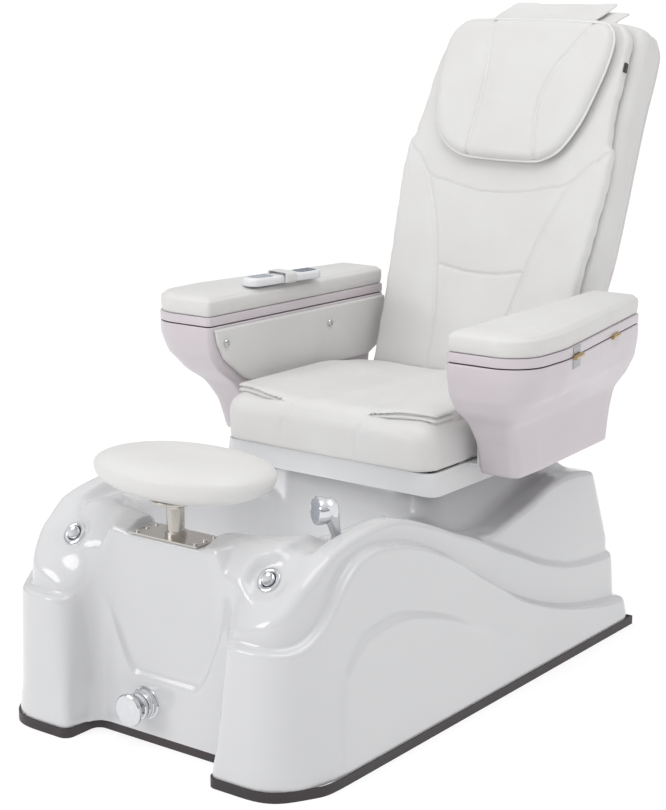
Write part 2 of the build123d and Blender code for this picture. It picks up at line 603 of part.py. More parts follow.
def hinge_leaves(knuckles, low, high, pin):
    """Two hinge leaves with their knuckles, for the left armrest."""
    with BuildPart() as leaves:
        for y in HINGE_Y:
            plane = hinge_plane(y)
            with BuildSketch(plane):
                with Locations((0, (low + high) / 2)):
                    Rectangle(44, abs(high - low))
            extrude(amount=1.6)
            for start, end in knuckles:
                spot = plane * Location(((start + end) / 2, 0, HINGE_R + 0.5), (0, 90, 0))
                reach = plane * Location(((start + end) / 2, (low if abs(low) < abs(high) else high) / 2,
                                          1.2))
                with Locations(spot):
                    Cylinder(HINGE_R, end - start)
                with Locations(reach):
                    Box(end - start, abs(low if abs(low) < abs(high) else high) + 1, 2.2)
            for start, end in knuckles:
                with Locations(plane * Location(((start + end) / 2, 0, HINGE_R + 0.5), (0, 90, 0))):
                    Cylinder(pin, end - start + 1, mode=Mode.SUBTRACT)
    return leaves.part


with BuildPart() as arm_shell:
    loft([arm_plan(section, 0) for section in ARM_SECTIONS], ruled=True)
with BuildPart() as arm_hollow:
    loft([arm_plan(section, ARM_WALL, ARM_WALL if section is ARM_SECTIONS[0] else 0)
          for section in ARM_SECTIONS], ruled=True)
    extrude(arm_plan(ARM_SECTIONS[-1], ARM_WALL), amount=1)
arm_panel_profile = [(-176, 724), (-168, 690), (-148, 652), (-105, 622), (-60, 604), (330, 604),
                     (400, 640), (410, 724)]
with BuildPart() as arm_panel:
    with BuildSketch():
        with BuildLine():
            Polyline((arm_inner(-176) - 9, -176), (arm_inner(-176), -176), (arm_inner(408), 408),
                     (arm_inner(408) - 9, 408), (arm_inner(-176) - 9, -176))
        make_face()
    extrude(amount=SKY + 200)
    with BuildSketch(Plane.YZ):
        Polygon(*arm_panel_profile, align=None)
    extrude(amount=SKY, mode=Mode.INTERSECT)

with BuildPart() as lid_frame:
    extrude(arm_plan((LID_Z, *ARM_SECTIONS[-1][1:]), 0), amount=LID_TOP - LID_Z)
    with BuildSketch(Plane.XY.offset(LID_Z)):
        add(arm_plan((0, *ARM_SECTIONS[-1][1:]), 10))
    extrude(amount=8, mode=Mode.SUBTRACT)

with BuildPart() as lid_pad:
    extrude(arm_plan((LID_TOP, *ARM_SECTIONS[-1][1:]), 0), amount=ARM_PAD_TOP - LID_TOP)
    fillet(lid_pad.edges().group_by(Axis.Z)[-1], radius=9)

fixed_leaves = hinge_leaves([(-22, -8), (8, 22)], -24, -4, HINGE_PIN_R)
moving_leaves = hinge_leaves([(-7.7, 7.7)], 4, 20, HINGE_PIN_R + FIT)
with BuildPart() as hinge_pins:
    for y in HINGE_Y:
        with Locations(hinge_plane(y) * Location((0, 0, HINGE_R + 0.5), (0, 90, 0))):
            Cylinder(HINGE_PIN_R, 44)

BOLTS = [(-141, 690), (223, 684)]
with BuildPart() as arm_bolts:
    for y, z in BOLTS:
        lean = Plane(origin=(arm_inner(y) - 9, y, z), x_dir=(0, 1, 0), z_dir=(-1, -0.035, 0))
        with Locations(lean):
            Cylinder(9, 4, align=(Align.CENTER, Align.CENTER, Align.MIN))

with BuildPart() as arm_bar:
    for y in BAR_YS:
        with BuildSketch(Plane.XY.offset(BEAM_TOP)):
            with BuildLine():
                Polyline((BEAM_X, y - BAR_W / 2), (arm_inner(y - BAR_W / 2), y - BAR_W / 2),
                         (arm_inner(y + BAR_W / 2), y + BAR_W / 2), (BEAM_X, y + BAR_W / 2),
                         (BEAM_X, y - BAR_W / 2))
            make_face()
        extrude(amount=BAR_T)
        with BuildSketch(Plane.XY.offset(BEAM_TOP)):
            with BuildLine():
                Polyline((arm_inner(y - BAR_W / 2) - BAR_T, y - BAR_W / 2),
                         (arm_inner(y - BAR_W / 2), y - BAR_W / 2),
                         (arm_inner(y + BAR_W / 2), y + BAR_W / 2),
                         (arm_inner(y + BAR_W / 2) - BAR_T, y + BAR_W / 2),
                         (arm_inner(y - BAR_W / 2) - BAR_T, y - BAR_W / 2))
            make_face()
        extrude(amount=90)

with BuildPart() as arm_case:
    add(arm_shell.part)
    add(arm_hollow.part, mode=Mode.SUBTRACT)

ARM_PIECES = {"armrest_shell": arm_case.part, "armrest_panel": arm_panel.part,
              "lid_frame": lid_frame.part, "lid_pad": lid_pad.part, "lid_leaves": moving_leaves}
for name, piece in ARM_PIECES.items():
    for side, word in LEFT_RIGHT:
        with BuildPart() as arm_piece:
            add(side_by_side(piece, side))
        arm_piece.part.label = f"{name}_{word}"
        export_step(arm_piece.part, f"parts/{name}_{word}.step")

PAIRED = {"hinge_leaves": fixed_leaves, "hinge_pins": hinge_pins.part, "armrest_bolts": arm_bolts.part,
          "armrest_bars": arm_bar.part}
for name, piece in PAIRED.items():
    with BuildPart() as paired:
        add(piece)
        mirror(about=Plane.YZ)
    paired.part.label = name
    export_step(paired.part, f"parts/{name}.step")

# ---------------------------------------------------------------- remote control
REMOTE_L, REMOTE_W, REMOTE_H = 225, 54, 20
REMOTE_Y, REMOTE_X, REMOTE_TURN = 80, -316, -9
REMOTE = Plane(origin=(REMOTE_X, REMOTE_Y, ARM_PAD_TOP + 0.3),
               x_dir=(sin(radians(-REMOTE_TURN)), cos(radians(REMOTE_TURN)), 0), z_dir=(0, 0, 1))
with BuildPart() as remote_shell:
    with BuildSketch(REMOTE):
        RectangleRounded(REMOTE_L, REMOTE_W, 18)
    extrude(amount=REMOTE_H)
    fillet(remote_shell.edges().group_by(Axis.Z)[-1], radius=6)
remote_shell.part.label = "remote_shell"
export_step(remote_shell.part, "parts/remote_shell.step")

with BuildPart() as remote_panels:
    with BuildSketch(REMOTE.offset(REMOTE_H)):
        with Locations((-68, 0)):
            RectangleRounded(60, 36, 6)
        with Locations((70, 0)):
            RectangleRounded(56, 36, 6)
    extrude(amount=1)
remote_panels.part.label = "remote_panels"
export_step(remote_panels.part, "parts/remote_panels.step")

with BuildPart() as remote_strap:
    with BuildSketch(Plane(origin=REMOTE.origin - (0, 0, 0.3), x_dir=REMOTE.y_dir, z_dir=REMOTE.x_dir)):
        with Locations((0, (REMOTE_H + 6) / 2)):
            RectangleRounded(REMOTE_W + 14, REMOTE_H + 6, 9)
            Rectangle(REMOTE_W + 1.6, REMOTE_H + 2.4, mode=Mode.SUBTRACT)
        with Locations((0, 0.5)):
            Rectangle(REMOTE_W + 1.6, 5, mode=Mode.SUBTRACT)
    extrude(amount=15, both=True)
remote_strap.part.label = "remote_strap"
export_step(remote_strap.part, "parts/remote_strap.step")

# ---------------------------------------------------------------- backrest
# On BACK, x is across the chair, y (called s) runs up the back and z points forward.
SHELL_BACK, SHELL_FRONT = -BACK_DEPTH, -118
FOAM_FRONT = -22
SLOT_HALF, SLOT_LOW, SLOT_HIGH = 112, -500, 236
back_offset = Vector(0, PIVOT_Y - BACK_POINT[1], PIVOT_Z - BACK_POINT[2])
PIVOT_S = back_offset.dot(BACK.y_dir)
PIVOT_D = back_offset.dot(BACK.z_dir)
TUBE_X, TUBE = 180, 24
ROD_X, ROD_R, ROD_D = 60, 5, -96
CARRIAGE_HALF, AXLE_S, AXLE_D, ROLLER_X = 60, 38, -54, 32
ROLLER_R, ROLLER_W, AXLE_R = 28, 22, 4


def body_plan(depth, inset):
    """Outline of the upholstered back body."""
    right = [(x - inset, s + (inset if s < -500 else 0)) for x, s in BODY_HALF]
    with BuildSketch(BACK.offset(depth)) as plan:
        with BuildLine():
            Line((0, right[0][1]), right[0])
            Spline(*right)
            Spline(right[-1], (225 - inset, 326 - inset), (110, BODY_TOP - 4 - inset),
                   (0, BODY_TOP - inset), tangents=((-0.1, 1), (-1, 0)))
            mirror(about=Plane.YZ)
        make_face()
    return plan.sketch


with BuildPart() as back_shell:
    extrude(body_plan(SHELL_BACK, 0), amount=SHELL_FRONT - SHELL_BACK)
    extrude(body_plan(SHELL_BACK + 4, 4), amount=SHELL_FRONT - SHELL_BACK, mode=Mode.SUBTRACT)
    with Locations(*(BACK * Location((x, -540, -132)) for x in (TUBE_X, -TUBE_X))):
        Box(10, 20, 26, mode=Mode.SUBTRACT)
back_shell.part.label = "back_shell"
export_step(back_shell.part, "parts/back_shell.step")

with BuildPart() as back_cushion:
    extrude(body_plan(SHELL_FRONT + 0.3, 0), amount=FOAM_FRONT - SHELL_FRONT - 0.6)
    fillet(back_cushion.faces().sort_by(lambda f: f.center().dot(BACK.z_dir))[-1].edges(), radius=16)
    with BuildSketch(BACK.offset(SHELL_FRONT - 5)):
        with Locations((0, (SLOT_LOW + SLOT_HIGH) / 2)):
            RectangleRounded(2 * SLOT_HALF, SLOT_HIGH - SLOT_LOW, 12)
    extrude(amount=SHELL_BACK * -1, mode=Mode.SUBTRACT)
back_cushion.part.label = "back_cushion"
export_step(back_cushion.part, "parts/back_cushion.step")

with BuildPart() as back_cover:
    with BuildSketch(BACK.offset(FOAM_FRONT)):
        with BuildLine():
            Line((0, COVER_HALF[0][1]), COVER_HALF[0])
            Spline(*COVER_HALF[:5])
            Spline(*COVER_HALF[4:])
            Line(COVER_HALF[-1], (0, COVER_HALF[-1][1] + 4))
            mirror(about=Plane.YZ)
        make_face()
    extrude(amount=-FOAM_FRONT)
back_cover.part.label = "back_cover"
export_step(back_cover.part, "parts/back_cover.step")

with BuildPart() as head_pillow:
    with BuildSketch(BACK.offset(0.4)):
        with BuildLine():
            Line((0, -36), (104, -36))
            Spline((104, -36), (168, 14), (206, 110), (234, 214))
            Spline((234, 214), (226, 272), (190, 304))
            Spline((190, 304), (100, 311), (0, 313))
            mirror(about=Plane.YZ)
        make_face()
    extrude(amount=66)
    with BuildSketch(BACK.offset(-62)):
        with Locations((60, 362)):
            Rectangle(300, 10)
    extrude(amount=58)
head_pillow.part.label = "head_pillow"
export_step(head_pillow.part, "parts/head_pillow.step")

with BuildPart() as back_frame:
    with BuildSketch(BACK.offset(SHELL_BACK + 6)):
        with Locations((TUBE_X, -120), (-TUBE_X, -120)):
            Rectangle(TUBE, 740)
        with Locations((0, SLOT_LOW + 16), (0, SLOT_HIGH - 16)):
            Rectangle(2 * TUBE_X, TUBE)
    extrude(amount=TUBE)
    for x in (TUBE_X, -TUBE_X):
        with BuildSketch(Plane(origin=BACK.origin + BACK.x_dir * x, x_dir=BACK.y_dir,
                               z_dir=BACK.x_dir)):
            Polygon((-568, PIVOT_D), (-572, -100), (-562, -143), (-480, -143),
                    (-480, -122), (-542.5, -121), (-542.5, PIVOT_D), align=None)
        extrude(amount=4, both=True)
    for x in (ROD_X, -ROD_X):
        for s in (SLOT_LOW + 16, SLOT_HIGH - 16):
            with Locations(BACK * Location((x, s, (SHELL_BACK + 30 + ROD_D + 9) / 2))):
                Box(18, 12, ROD_D + 9 - SHELL_BACK - 30 + 0.2)
    for x in (ROD_X, -ROD_X):
        with Locations(BACK * Location((x, (SLOT_LOW + SLOT_HIGH) / 2, ROD_D), (90, 0, 0))):
            Cylinder(ROD_R, SLOT_HIGH - SLOT_LOW, mode=Mode.SUBTRACT)
    with Locations(Location((0, PIVOT_Y, PIVOT_Z), (0, 90, 0))):
        Cylinder(SHAFT_R + 6, 2 * (LUG_X - LUG_T / 2) - 1)
    for x in (12, -12):
        with Locations((x, EYE_Y, (EYE_Z + PIVOT_Z) / 2)):
            Box(5, 20, PIVOT_Z - EYE_Z + 16)
    with Locations(Location((0, EYE_Y, EYE_Z), (0, 90, 0))):
        Cylinder(5, 26)
    with Locations(Location((0, PIVOT_Y, PIVOT_Z), (0, 90, 0))):
        Cylinder(SHAFT_R + FIT, 2 * LUG_X, mode=Mode.SUBTRACT)
back_frame.part.label = "back_frame"
export_step(back_frame.part, "parts/back_frame.step")

with BuildPart() as hinge_shaft:
    with Locations(Location((0, PIVOT_Y, PIVOT_Z), (0, 90, 0))):
        Cylinder(SHAFT_R, 2 * LUG_X + LUG_T)
    with Locations(Location((LUG_X + LUG_T / 2 + 3, PIVOT_Y, PIVOT_Z), (0, 90, 0)),
                   Location((-LUG_X - LUG_T / 2 - 3, PIVOT_Y, PIVOT_Z), (0, 90, 0))):
        Cylinder(SHAFT_R + 4, 6)
hinge_shaft.part.label = "hinge_shaft"
export_step(hinge_shaft.part, "parts/hinge_shaft.step")

with BuildPart() as massage_rods:
    for x in (ROD_X, -ROD_X):
        with Locations(BACK * Location((x, (SLOT_LOW + SLOT_HIGH) / 2, ROD_D), (90, 0, 0))):
            Cylinder(ROD_R, SLOT_HIGH - SLOT_LOW - 14)
massage_rods.part.label = "massage_rods"
export_step(massage_rods.part, "parts/massage_rods.step")

with BuildPart() as massage_carriage:
    with Locations(BACK * Location((0, 0, ROD_D))):
        Box(160, 2 * CARRIAGE_HALF, 20)
    for x in (66, -66, 0):
        for s in (AXLE_S, -AXLE_S):
            with Locations(BACK * Location((x, s, (ROD_D + AXLE_D + 6) / 2))):
                Box(8, 16, AXLE_D + 6 - ROD_D)
    for x in (ROD_X, -ROD_X):
        with Locations(BACK * Location((x, 0, ROD_D), (90, 0, 0))):
            Cylinder(ROD_R + FIT, 200, mode=Mode.SUBTRACT)
    for s in (AXLE_S, -AXLE_S):
        with Locations(BACK * Location((0, s, AXLE_D), (0, 90, 0))):
            Cylinder(AXLE_R + FIT, 200, mode=Mode.SUBTRACT)
massage_carriage.part.label = "massage_carriage"
export_step(massage_carriage.part, "parts/massage_carriage.step")

for s, word in ((AXLE_S, "upper"), (-AXLE_S, "lower")):
    with BuildPart() as rollers:
        with Locations(BACK * Location((0, s, AXLE_D), (0, 90, 0))):
            Cylinder(AXLE_R, 156)
        for x in (ROLLER_X, -ROLLER_X):
            with Locations(BACK * Location((x, s, AXLE_D), (0, 90, 0))):
                Cylinder(ROLLER_R, ROLLER_W)
        fillet(rollers.edges().filter_by(lambda e: e.radius > 20 if e.geom_type == GeomType.CIRCLE
                                         else False), radius=6)
    rollers.part.label = f"massage_rollers_{word}"
    export_step(rollers.part, f"parts/massage_rollers_{word}.step")

# ---------------------------------------------------------------- recline actuator
STRUT_L = hypot(EYE_Y - STRUT_Y, EYE_Z - STRUT_Z)
STRUT = Plane(origin=(0, STRUT_Y, STRUT_Z), x_dir=(1, 0, 0),
              z_dir=(0, (EYE_Y - STRUT_Y) / STRUT_L, (EYE_Z - STRUT_Z) / STRUT_L))
with BuildPart() as recline_cylinder:
    with Locations(Location((0, STRUT_Y, STRUT_Z), (0, 90, 0))):
        Cylinder(11, 28)
    with BuildSketch(STRUT.offset(8)):
        Circle(12)
    extrude(amount=180)
    with Locations(Location((0, STRUT_Y, STRUT_Z), (0, 90, 0))):
        Cylinder(5 + FIT, 60, mode=Mode.SUBTRACT)
    with BuildSketch(STRUT.offset(24)):
        Circle(7 + FIT)
    extrude(amount=200, mode=Mode.SUBTRACT)
recline_cylinder.part.label = "recline_cylinder"
export_step(recline_cylinder.part, "parts/recline_cylinder.step")

with BuildPart() as recline_rod:
    with BuildSketch(STRUT.offset(100)):
        Circle(7)
    extrude(amount=STRUT_L - 108)
    with Locations(Location((0, EYE_Y, EYE_Z), (0, 90, 0))):
        Cylinder(15, 10)
        Cylinder(10.5, 20, mode=Mode.SUBTRACT)
recline_rod.part.label = "recline_rod"
export_step(recline_rod.part, "parts/recline_rod.step")
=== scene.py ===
"""Looks of the pedicure spa chair. Shapes are worked out in millimetres and built in metres."""
import math

import bmesh
import bpy
import numpy as np
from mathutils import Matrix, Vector
from mathutils.bvhtree import BVHTree


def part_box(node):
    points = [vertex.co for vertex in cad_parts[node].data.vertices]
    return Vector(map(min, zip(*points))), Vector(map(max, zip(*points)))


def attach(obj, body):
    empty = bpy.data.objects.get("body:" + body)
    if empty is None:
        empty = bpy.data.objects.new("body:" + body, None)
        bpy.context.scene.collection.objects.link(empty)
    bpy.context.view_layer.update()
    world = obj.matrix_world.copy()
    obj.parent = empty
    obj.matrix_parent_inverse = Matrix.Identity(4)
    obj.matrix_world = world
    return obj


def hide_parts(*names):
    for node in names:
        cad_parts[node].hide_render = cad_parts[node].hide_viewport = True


MM = 0.001
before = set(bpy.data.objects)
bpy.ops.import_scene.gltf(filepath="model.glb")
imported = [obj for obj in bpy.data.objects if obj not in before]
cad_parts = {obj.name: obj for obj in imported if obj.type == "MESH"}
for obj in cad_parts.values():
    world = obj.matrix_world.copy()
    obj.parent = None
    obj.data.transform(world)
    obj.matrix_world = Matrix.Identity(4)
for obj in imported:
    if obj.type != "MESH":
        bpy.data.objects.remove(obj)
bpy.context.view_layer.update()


# ---------------- smooth functions
def smoothstep(t):
    t = np.clip(t, 0, 1)
    return t * t * (3 - 2 * t)


def smin(a, b, k):
    h = np.clip(0.5 + 0.5 * (b - a) / k, 0, 1)
    return b + (a - b) * h - k * h * (1 - h)


def smax(a, b, k):
    return -smin(-a, -b, k)


def curve(points, at):
    """Smooth curve through the points, read at the given places, level beyond both ends."""
    x, y = np.array(points, float).T
    slope = np.gradient(y, x)
    at = np.clip(np.asarray(at, float), x[0], x[-1])
    i = np.clip(np.searchsorted(x, at) - 1, 0, len(x) - 2)
    h = x[i + 1] - x[i]
    t = (at - x[i]) / h
    return ((1 + 2 * t) * (1 - t) ** 2 * y[i] + t * (1 - t) ** 2 * h * slope[i]
            + t * t * (3 - 2 * t) * y[i + 1] + t * t * (t - 1) * h * slope[i + 1])


def smooth_path(points, steps=12, closed=False):
    """Points along a Catmull-Rom curve through the given ones."""
    p = np.array(points, float)
    n = len(p)
    before = np.roll(p, 1, 0) if closed else np.vstack([2 * p[0] - p[1], p[:-1]])
    after = np.roll(p, -1, 0) if closed else np.vstack([p[1:], 2 * p[-1] - p[-2]])
    slope = (after - before) / 2
    out = []
    for i in range(n if closed else n - 1):
        j = (i + 1) % n
        for t in np.arange(steps) / steps:
            out.append((2 * t**3 - 3 * t**2 + 1) * p[i] + (t**3 - 2 * t**2 + t) * slope[i]
                       + (3 * t**2 - 2 * t**3) * p[j] + (t**3 - t**2) * slope[j])
    if not closed:
        out.append(p[-1])
    return np.array(out)


def to_line(u, v, path):
    """Distance from each place (u, v) to a polyline."""
    best = np.full(np.broadcast(u, v).shape, 1e9)
    for (ax, ay), (bx, by) in zip(path[:-1], path[1:]):
        length = (bx - ax) ** 2 + (by - ay) ** 2 + 1e-9
        t = np.clip(((u - ax) * (bx - ax) + (v - ay) * (by - ay)) / length, 0, 1)
        best = np.minimum(best, np.hypot(u - ax - t * (bx - ax), v - ay - t * (by - ay)))
    return best


def to_outline(u, v, path):
    """Signed distance to a closed outline, negative inside."""
    ring = np.vstack([path, path[:1]])
    inside = np.zeros(np.broadcast(u, v).shape, bool)
    for (ax, ay), (bx, by) in zip(ring[:-1], ring[1:]):
        if ay != by:
            crosses = (v < max(ay, by)) & (v >= min(ay, by))
            inside ^= crosses & (u < ax + (v - ay) * (bx - ax) / (by - ay))
    return np.where(inside, -1, 1) * to_line(u, v, ring)


def round_box(x, y, half_x, half_y, r):
    """Signed distance to a rectangle with rounded corners, centred on the origin."""
    ax, ay = np.abs(x) - half_x + r, np.abs(y) - half_y + r
    return np.hypot(np.maximum(ax, 0), np.maximum(ay, 0)) + np.minimum(np.maximum(ax, ay), 0) - r


def groove(distance, width, depth):
    """Amount to add to a field to press in a seam."""
    return depth * np.exp(-(distance / width) ** 2)


# ---------------- meshes
def add_object(name, data):
    obj = bpy.data.objects.new(name, data)
    bpy.context.scene.collection.objects.link(obj)
    return obj


def add_smooth(name, mesh):
    """Smooth-shaded object for a mesh."""
    mesh.polygons.foreach_set("use_smooth", [True] * len(mesh.polygons))
    return add_object(name, mesh)


def new_mesh(name, verts, faces):
    """Smooth-shaded object from vertices in millimetres and faces as lists of vertex numbers."""
    mesh = bpy.data.meshes.new(name)
    mesh.from_pydata((np.asarray(verts) * MM).tolist(), [], [list(map(int, f)) for f in faces])
    mesh.update()
    return add_smooth(name, mesh)


def net(field, low, cell):
    """Vertices and faces of the surface where the field crosses zero (surface nets)."""
    inside = field < 0
    corners = sum(inside[i:i - 1 or None, j:j - 1 or None, k:k - 1 or None].astype(np.int8)
                  for i in (0, 1) for j in (0, 1) for k in (0, 1))
    active = (corners > 0) & (corners < 8)
    number = np.full(active.shape, -1)
    cells = np.argwhere(active)
    number[active] = np.arange(len(cells))
    total, count = np.zeros((len(cells), 3)), np.zeros(len(cells))
    for axis in range(3):
        step = np.eye(3, dtype=int)[axis]
        for a in (0, 1):
            for b in (0, 1):
                start = cells + a * np.roll(step, 1) + b * np.roll(step, 2)
                f0, f1 = field[tuple(start.T)], field[tuple((start + step).T)]
                cross = (f0 < 0) != (f1 < 0)
                share = np.where(cross, f0 / np.where(cross, f0 - f1, 1), 0)
                total += cross[:, None] * (start + share[:, None] * step)
                count += cross
    verts = np.asarray(low) + cell * total / count[:, None]
    quads = []
    for axis in range(3):
        step = np.eye(3, dtype=int)[axis]
        u, v = np.roll(step, 1), np.roll(step, 2)
        ahead = np.roll(inside, -1, axis)
        change = inside != ahead
        change[tuple(slice(-1, None) if i == axis else slice(None) for i in range(3))] = False
        e = np.argwhere(change)
        e = e[((e @ u) > 0) & ((e @ v) > 0) & ((e @ u) < inside.shape[(axis + 1) % 3] - 1)
              & ((e @ v) < inside.shape[(axis + 2) % 3] - 1)]
        quad = np.stack([number[tuple((e - u - v).T)], number[tuple((e - v).T)],
                         number[tuple(e.T)], number[tuple((e - u).T)]], 1)
        flip = ~inside[tuple(e.T)]
        quad[flip] = quad[flip][:, ::-1]
        quads.append(quad)
    return verts, np.vstack(quads)


def skin(name, field, low, high, cell, place=None, keep=None):
    """Mesh of the solid where field(x, y, z) is negative. place maps local points to the row frame."""
    axes = [np.arange(a - 2 * cell, b + 3 * cell, cell) for a, b in zip(low, high)]
    x, y, z = np.meshgrid(*axes, indexing="ij", sparse=True)
    shape = tuple(len(a) for a in axes)
    verts, faces = net(np.broadcast_to(field(x, y, z), shape), [a[0] for a in axes], cell)
    if keep is not None:
        faces = faces[keep(verts)[faces].all(1)]
        used = np.unique(faces)
        renumber = np.full(len(verts), -1)
        renumber[used] = np.arange(len(used))
        verts, faces = verts[used], renumber[faces]
    if place is not None:
        verts = place(verts)
    return new_mesh(name, verts, faces)


def flat_normals(obj, angle=40):
    """Smooth shading that keeps edges sharper than angle."""
    mesh = obj.data
    bm = bmesh.new()
    bm.from_mesh(mesh)
    for e in bm.edges:
        e.smooth = len(e.link_faces) != 2 or e.calc_face_angle(0) < math.radians(angle)
    bm.to_mesh(mesh)
    bm.free()
    return obj


def plane(origin, x_dir, normal):
    """Matrix of a local frame in the row frame: x along x_dir, z along normal."""
    z = Vector(normal).normalized()
    x = Vector(x_dir)
    x = (x - x.dot(z) * z).normalized()
    y = z.cross(x)
    return np.array([[x[i], y[i], z[i], origin[i]] for i in range(3)] + [[0, 0, 0, 1]])


def onto(matrix):
    """Function that maps points of a local frame to the row frame."""
    return lambda p: np.asarray(p, float) @ matrix[:3, :3].T + matrix[:3, 3]


def lathe(name, profile, matrix, steps=72):
    """Solid of revolution about the local z. The profile is (radius, height) pairs from axis to axis."""
    angle = np.arange(steps) * 2 * np.pi / steps
    verts, faces, rings = [], [], []
    for r, h in profile:
        if r == 0:
            rings.append([len(verts)])
            verts.append((0, 0, h))
        else:
            rings.append(list(range(len(verts), len(verts) + steps)))
            verts += list(zip(r * np.cos(angle), r * np.sin(angle), np.full(steps, h)))
    for low, high in zip(rings[:-1], rings[1:]):
        for i in range(steps):
            j = (i + 1) % steps
            quad = [low[i % len(low)], low[j % len(low)], high[j % len(high)], high[i % len(high)]]
            quad = list(dict.fromkeys(quad))
            if len(quad) > 2:
                faces.append(quad)
    return flat_normals(new_mesh(name, onto(matrix)(verts), faces), 35)


def tube(name, points, radius, closed=False):
    """Round cord along points in millimetres, as a mesh."""
    data = bpy.data.curves.new(name, "CURVE")
    data.dimensions = "3D"
    data.bevel_depth = radius * MM
    data.bevel_resolution = 2
    data.use_fill_caps = True
    line = data.splines.new("POLY")
    line.points.add(len(points) - 1)
    line.points.foreach_set("co", np.hstack([np.asarray(points) * MM, np.ones((len(points), 1))]).ravel())
    line.use_cyclic_u = closed
    temp = add_object(name, data)
    bpy.context.view_layer.update()
    mesh = bpy.data.meshes.new_from_object(temp.evaluated_get(bpy.context.evaluated_depsgraph_get()))
    bpy.data.objects.remove(temp)
    bpy.data.curves.remove(data)
    return add_smooth(name, mesh)


def join(name, pieces):
    """One object out of several."""
    bpy.ops.object.select_all(action="DESELECT")
    for o in pieces:
        o.select_set(True)
    bpy.context.view_layer.objects.active = pieces[0]
    if len(pieces) > 1:
        bpy.ops.object.join()
    pieces[0].name = name
    pieces[0].data.name = name
    return pieces[0]


def on_surface(obj, points, direction, sink=0.0):
    """Points in millimetres moved along direction onto the surface of obj, then sunk in by sink."""
    tree = BVHTree.FromObject(obj, bpy.context.evaluated_depsgraph_get())
    d = Vector(direction).normalized()
    out = []
    for p in points:
        start = Vector(p) * MM - d * 0.2
        hit = tree.ray_cast(start, d)[0]
        if hit is not None:
            out.append(np.array(hit) / MM + np.array(d) * sink)
    return np.array(out)


# ---------------- materials
def set_inputs(n, values):
    """Sets inputs of a shader node; an underscore stands for a space in the name."""
    for key, value in values.items():
        n.inputs[key.replace("_", " ")].default_value = value


def shader_of(m):
    return m.node_tree.nodes["Principled BSDF"]


def material(name, color, rough, metallic=0.0, coat=0.0, spec=0.5):
    m = bpy.data.materials.new(name)
    m.use_nodes = True
    set_inputs(shader_of(m), {
        "Base Color": (*color, 1), "Roughness": rough, "Metallic": metallic,
        "Coat Weight": coat, "Coat Roughness": 0.05, "Specular IOR Level": spec})
    return m


def node(m, kind, **inputs):
    n = m.node_tree.nodes.new(kind)
    set_inputs(n, inputs)
    return n


def link(m, a, out, b, into):
    m.node_tree.links.new(a.outputs[out], b.inputs[into])


def place_texture(m, texture, stretch=(1, 1, 1)):
    """Gives a texture the object's own coordinates."""
    coordinates = node(m, "ShaderNodeTexCoord")
    mapping = node(m, "ShaderNodeMapping", Scale=stretch)
    link(m, coordinates, "Object", mapping, "Vector")
    link(m, mapping, "Vector", texture, "Vector")


def noise_in(m, scale, detail, stretch=(1, 1, 1)):
    """Noise texture in the object's own coordinates."""
    noise = node(m, "ShaderNodeTexNoise", Scale=scale, Detail=detail)
    place_texture(m, noise, stretch)
    return noise


def add_tint(m, dark, light, scale, stretch=(1, 1, 1)):
    """Colour that varies slightly between two tones."""
    noise = noise_in(m, scale, 3.0, stretch)
    ramp = node(m, "ShaderNodeValToRGB")
    ramp.color_ramp.elements[0].position, ramp.color_ramp.elements[1].position = 0.3, 0.7
    ramp.color_ramp.elements[0].color = (*dark, 1)
    ramp.color_ramp.elements[1].color = (*light, 1)
    link(m, noise, "Fac", ramp, "Fac")
    link(m, ramp, "Color", shader_of(m), "Base Color")


def add_rough(m, low, high, scale, stretch=(1, 1, 1)):
    """Roughness that varies between two values."""
    noise = noise_in(m, scale, 4.0, stretch)
    spread = node(m, "ShaderNodeMapRange", To_Min=low, To_Max=high)
    link(m, noise, "Fac", spread, "Value")
    link(m, spread, "Result", shader_of(m), "Roughness")


def add_bump(m, texture, out, strength, depth, stretch=(1, 1, 1)):
    """Another layer of bump; layers add up."""
    shader = shader_of(m)
    place_texture(m, texture, stretch)
    bump = node(m, "ShaderNodeBump", Strength=strength, Distance=depth)
    link(m, texture, out, bump, "Height")
    if shader.inputs["Normal"].links:
        m.node_tree.links.new(shader.inputs["Normal"].links[0].from_socket, bump.inputs["Normal"])
    link(m, bump, "Normal", shader, "Normal")


def vinyl(name, tone, warm):
    """Soft grained vinyl leather."""
    m = material(name, tone, 0.46, coat=0.06, spec=0.42)
    add_tint(m, [c * 0.955 for c in warm], tone, 9.0)
    add_rough(m, 0.40, 0.54, 60.0)
    creases = node(m, "ShaderNodeTexNoise", Scale=26.0, Detail=5.0, Roughness=0.6)
    add_bump(m, creases, "Fac", 0.22, 0.0035)
    grain = node(m, "ShaderNodeTexVoronoi", Scale=620.0)
    add_bump(m, grain, "Distance", 0.30, 0.0004)
    return m


def moulded(name, tone, dark, rough, grain):
    """Moulded plastic with a faint texture."""
    m = material(name, tone, rough, coat=0.12)
    add_tint(m, dark, tone, 5.0)
    add_rough(m, rough * 0.88, rough * 1.15, 40.0)
    add_bump(m, node(m, "ShaderNodeTexNoise", Scale=grain, Detail=2.0), "Fac", 0.10, 0.0003)
    return m


def metal(name, tone, rough, stretch=(1, 1, 1), brush=0.0):
    m = material(name, tone, rough, metallic=1.0)
    add_rough(m, rough * 0.7, rough * 1.5, 90.0, stretch)
    add_tint(m, [c * 0.9 for c in tone], tone, 35.0, stretch)
    if brush:
        add_bump(m, node(m, "ShaderNodeTexNoise", Scale=260.0, Detail=3.0), "Fac", brush, 0.0002, stretch)
    return m


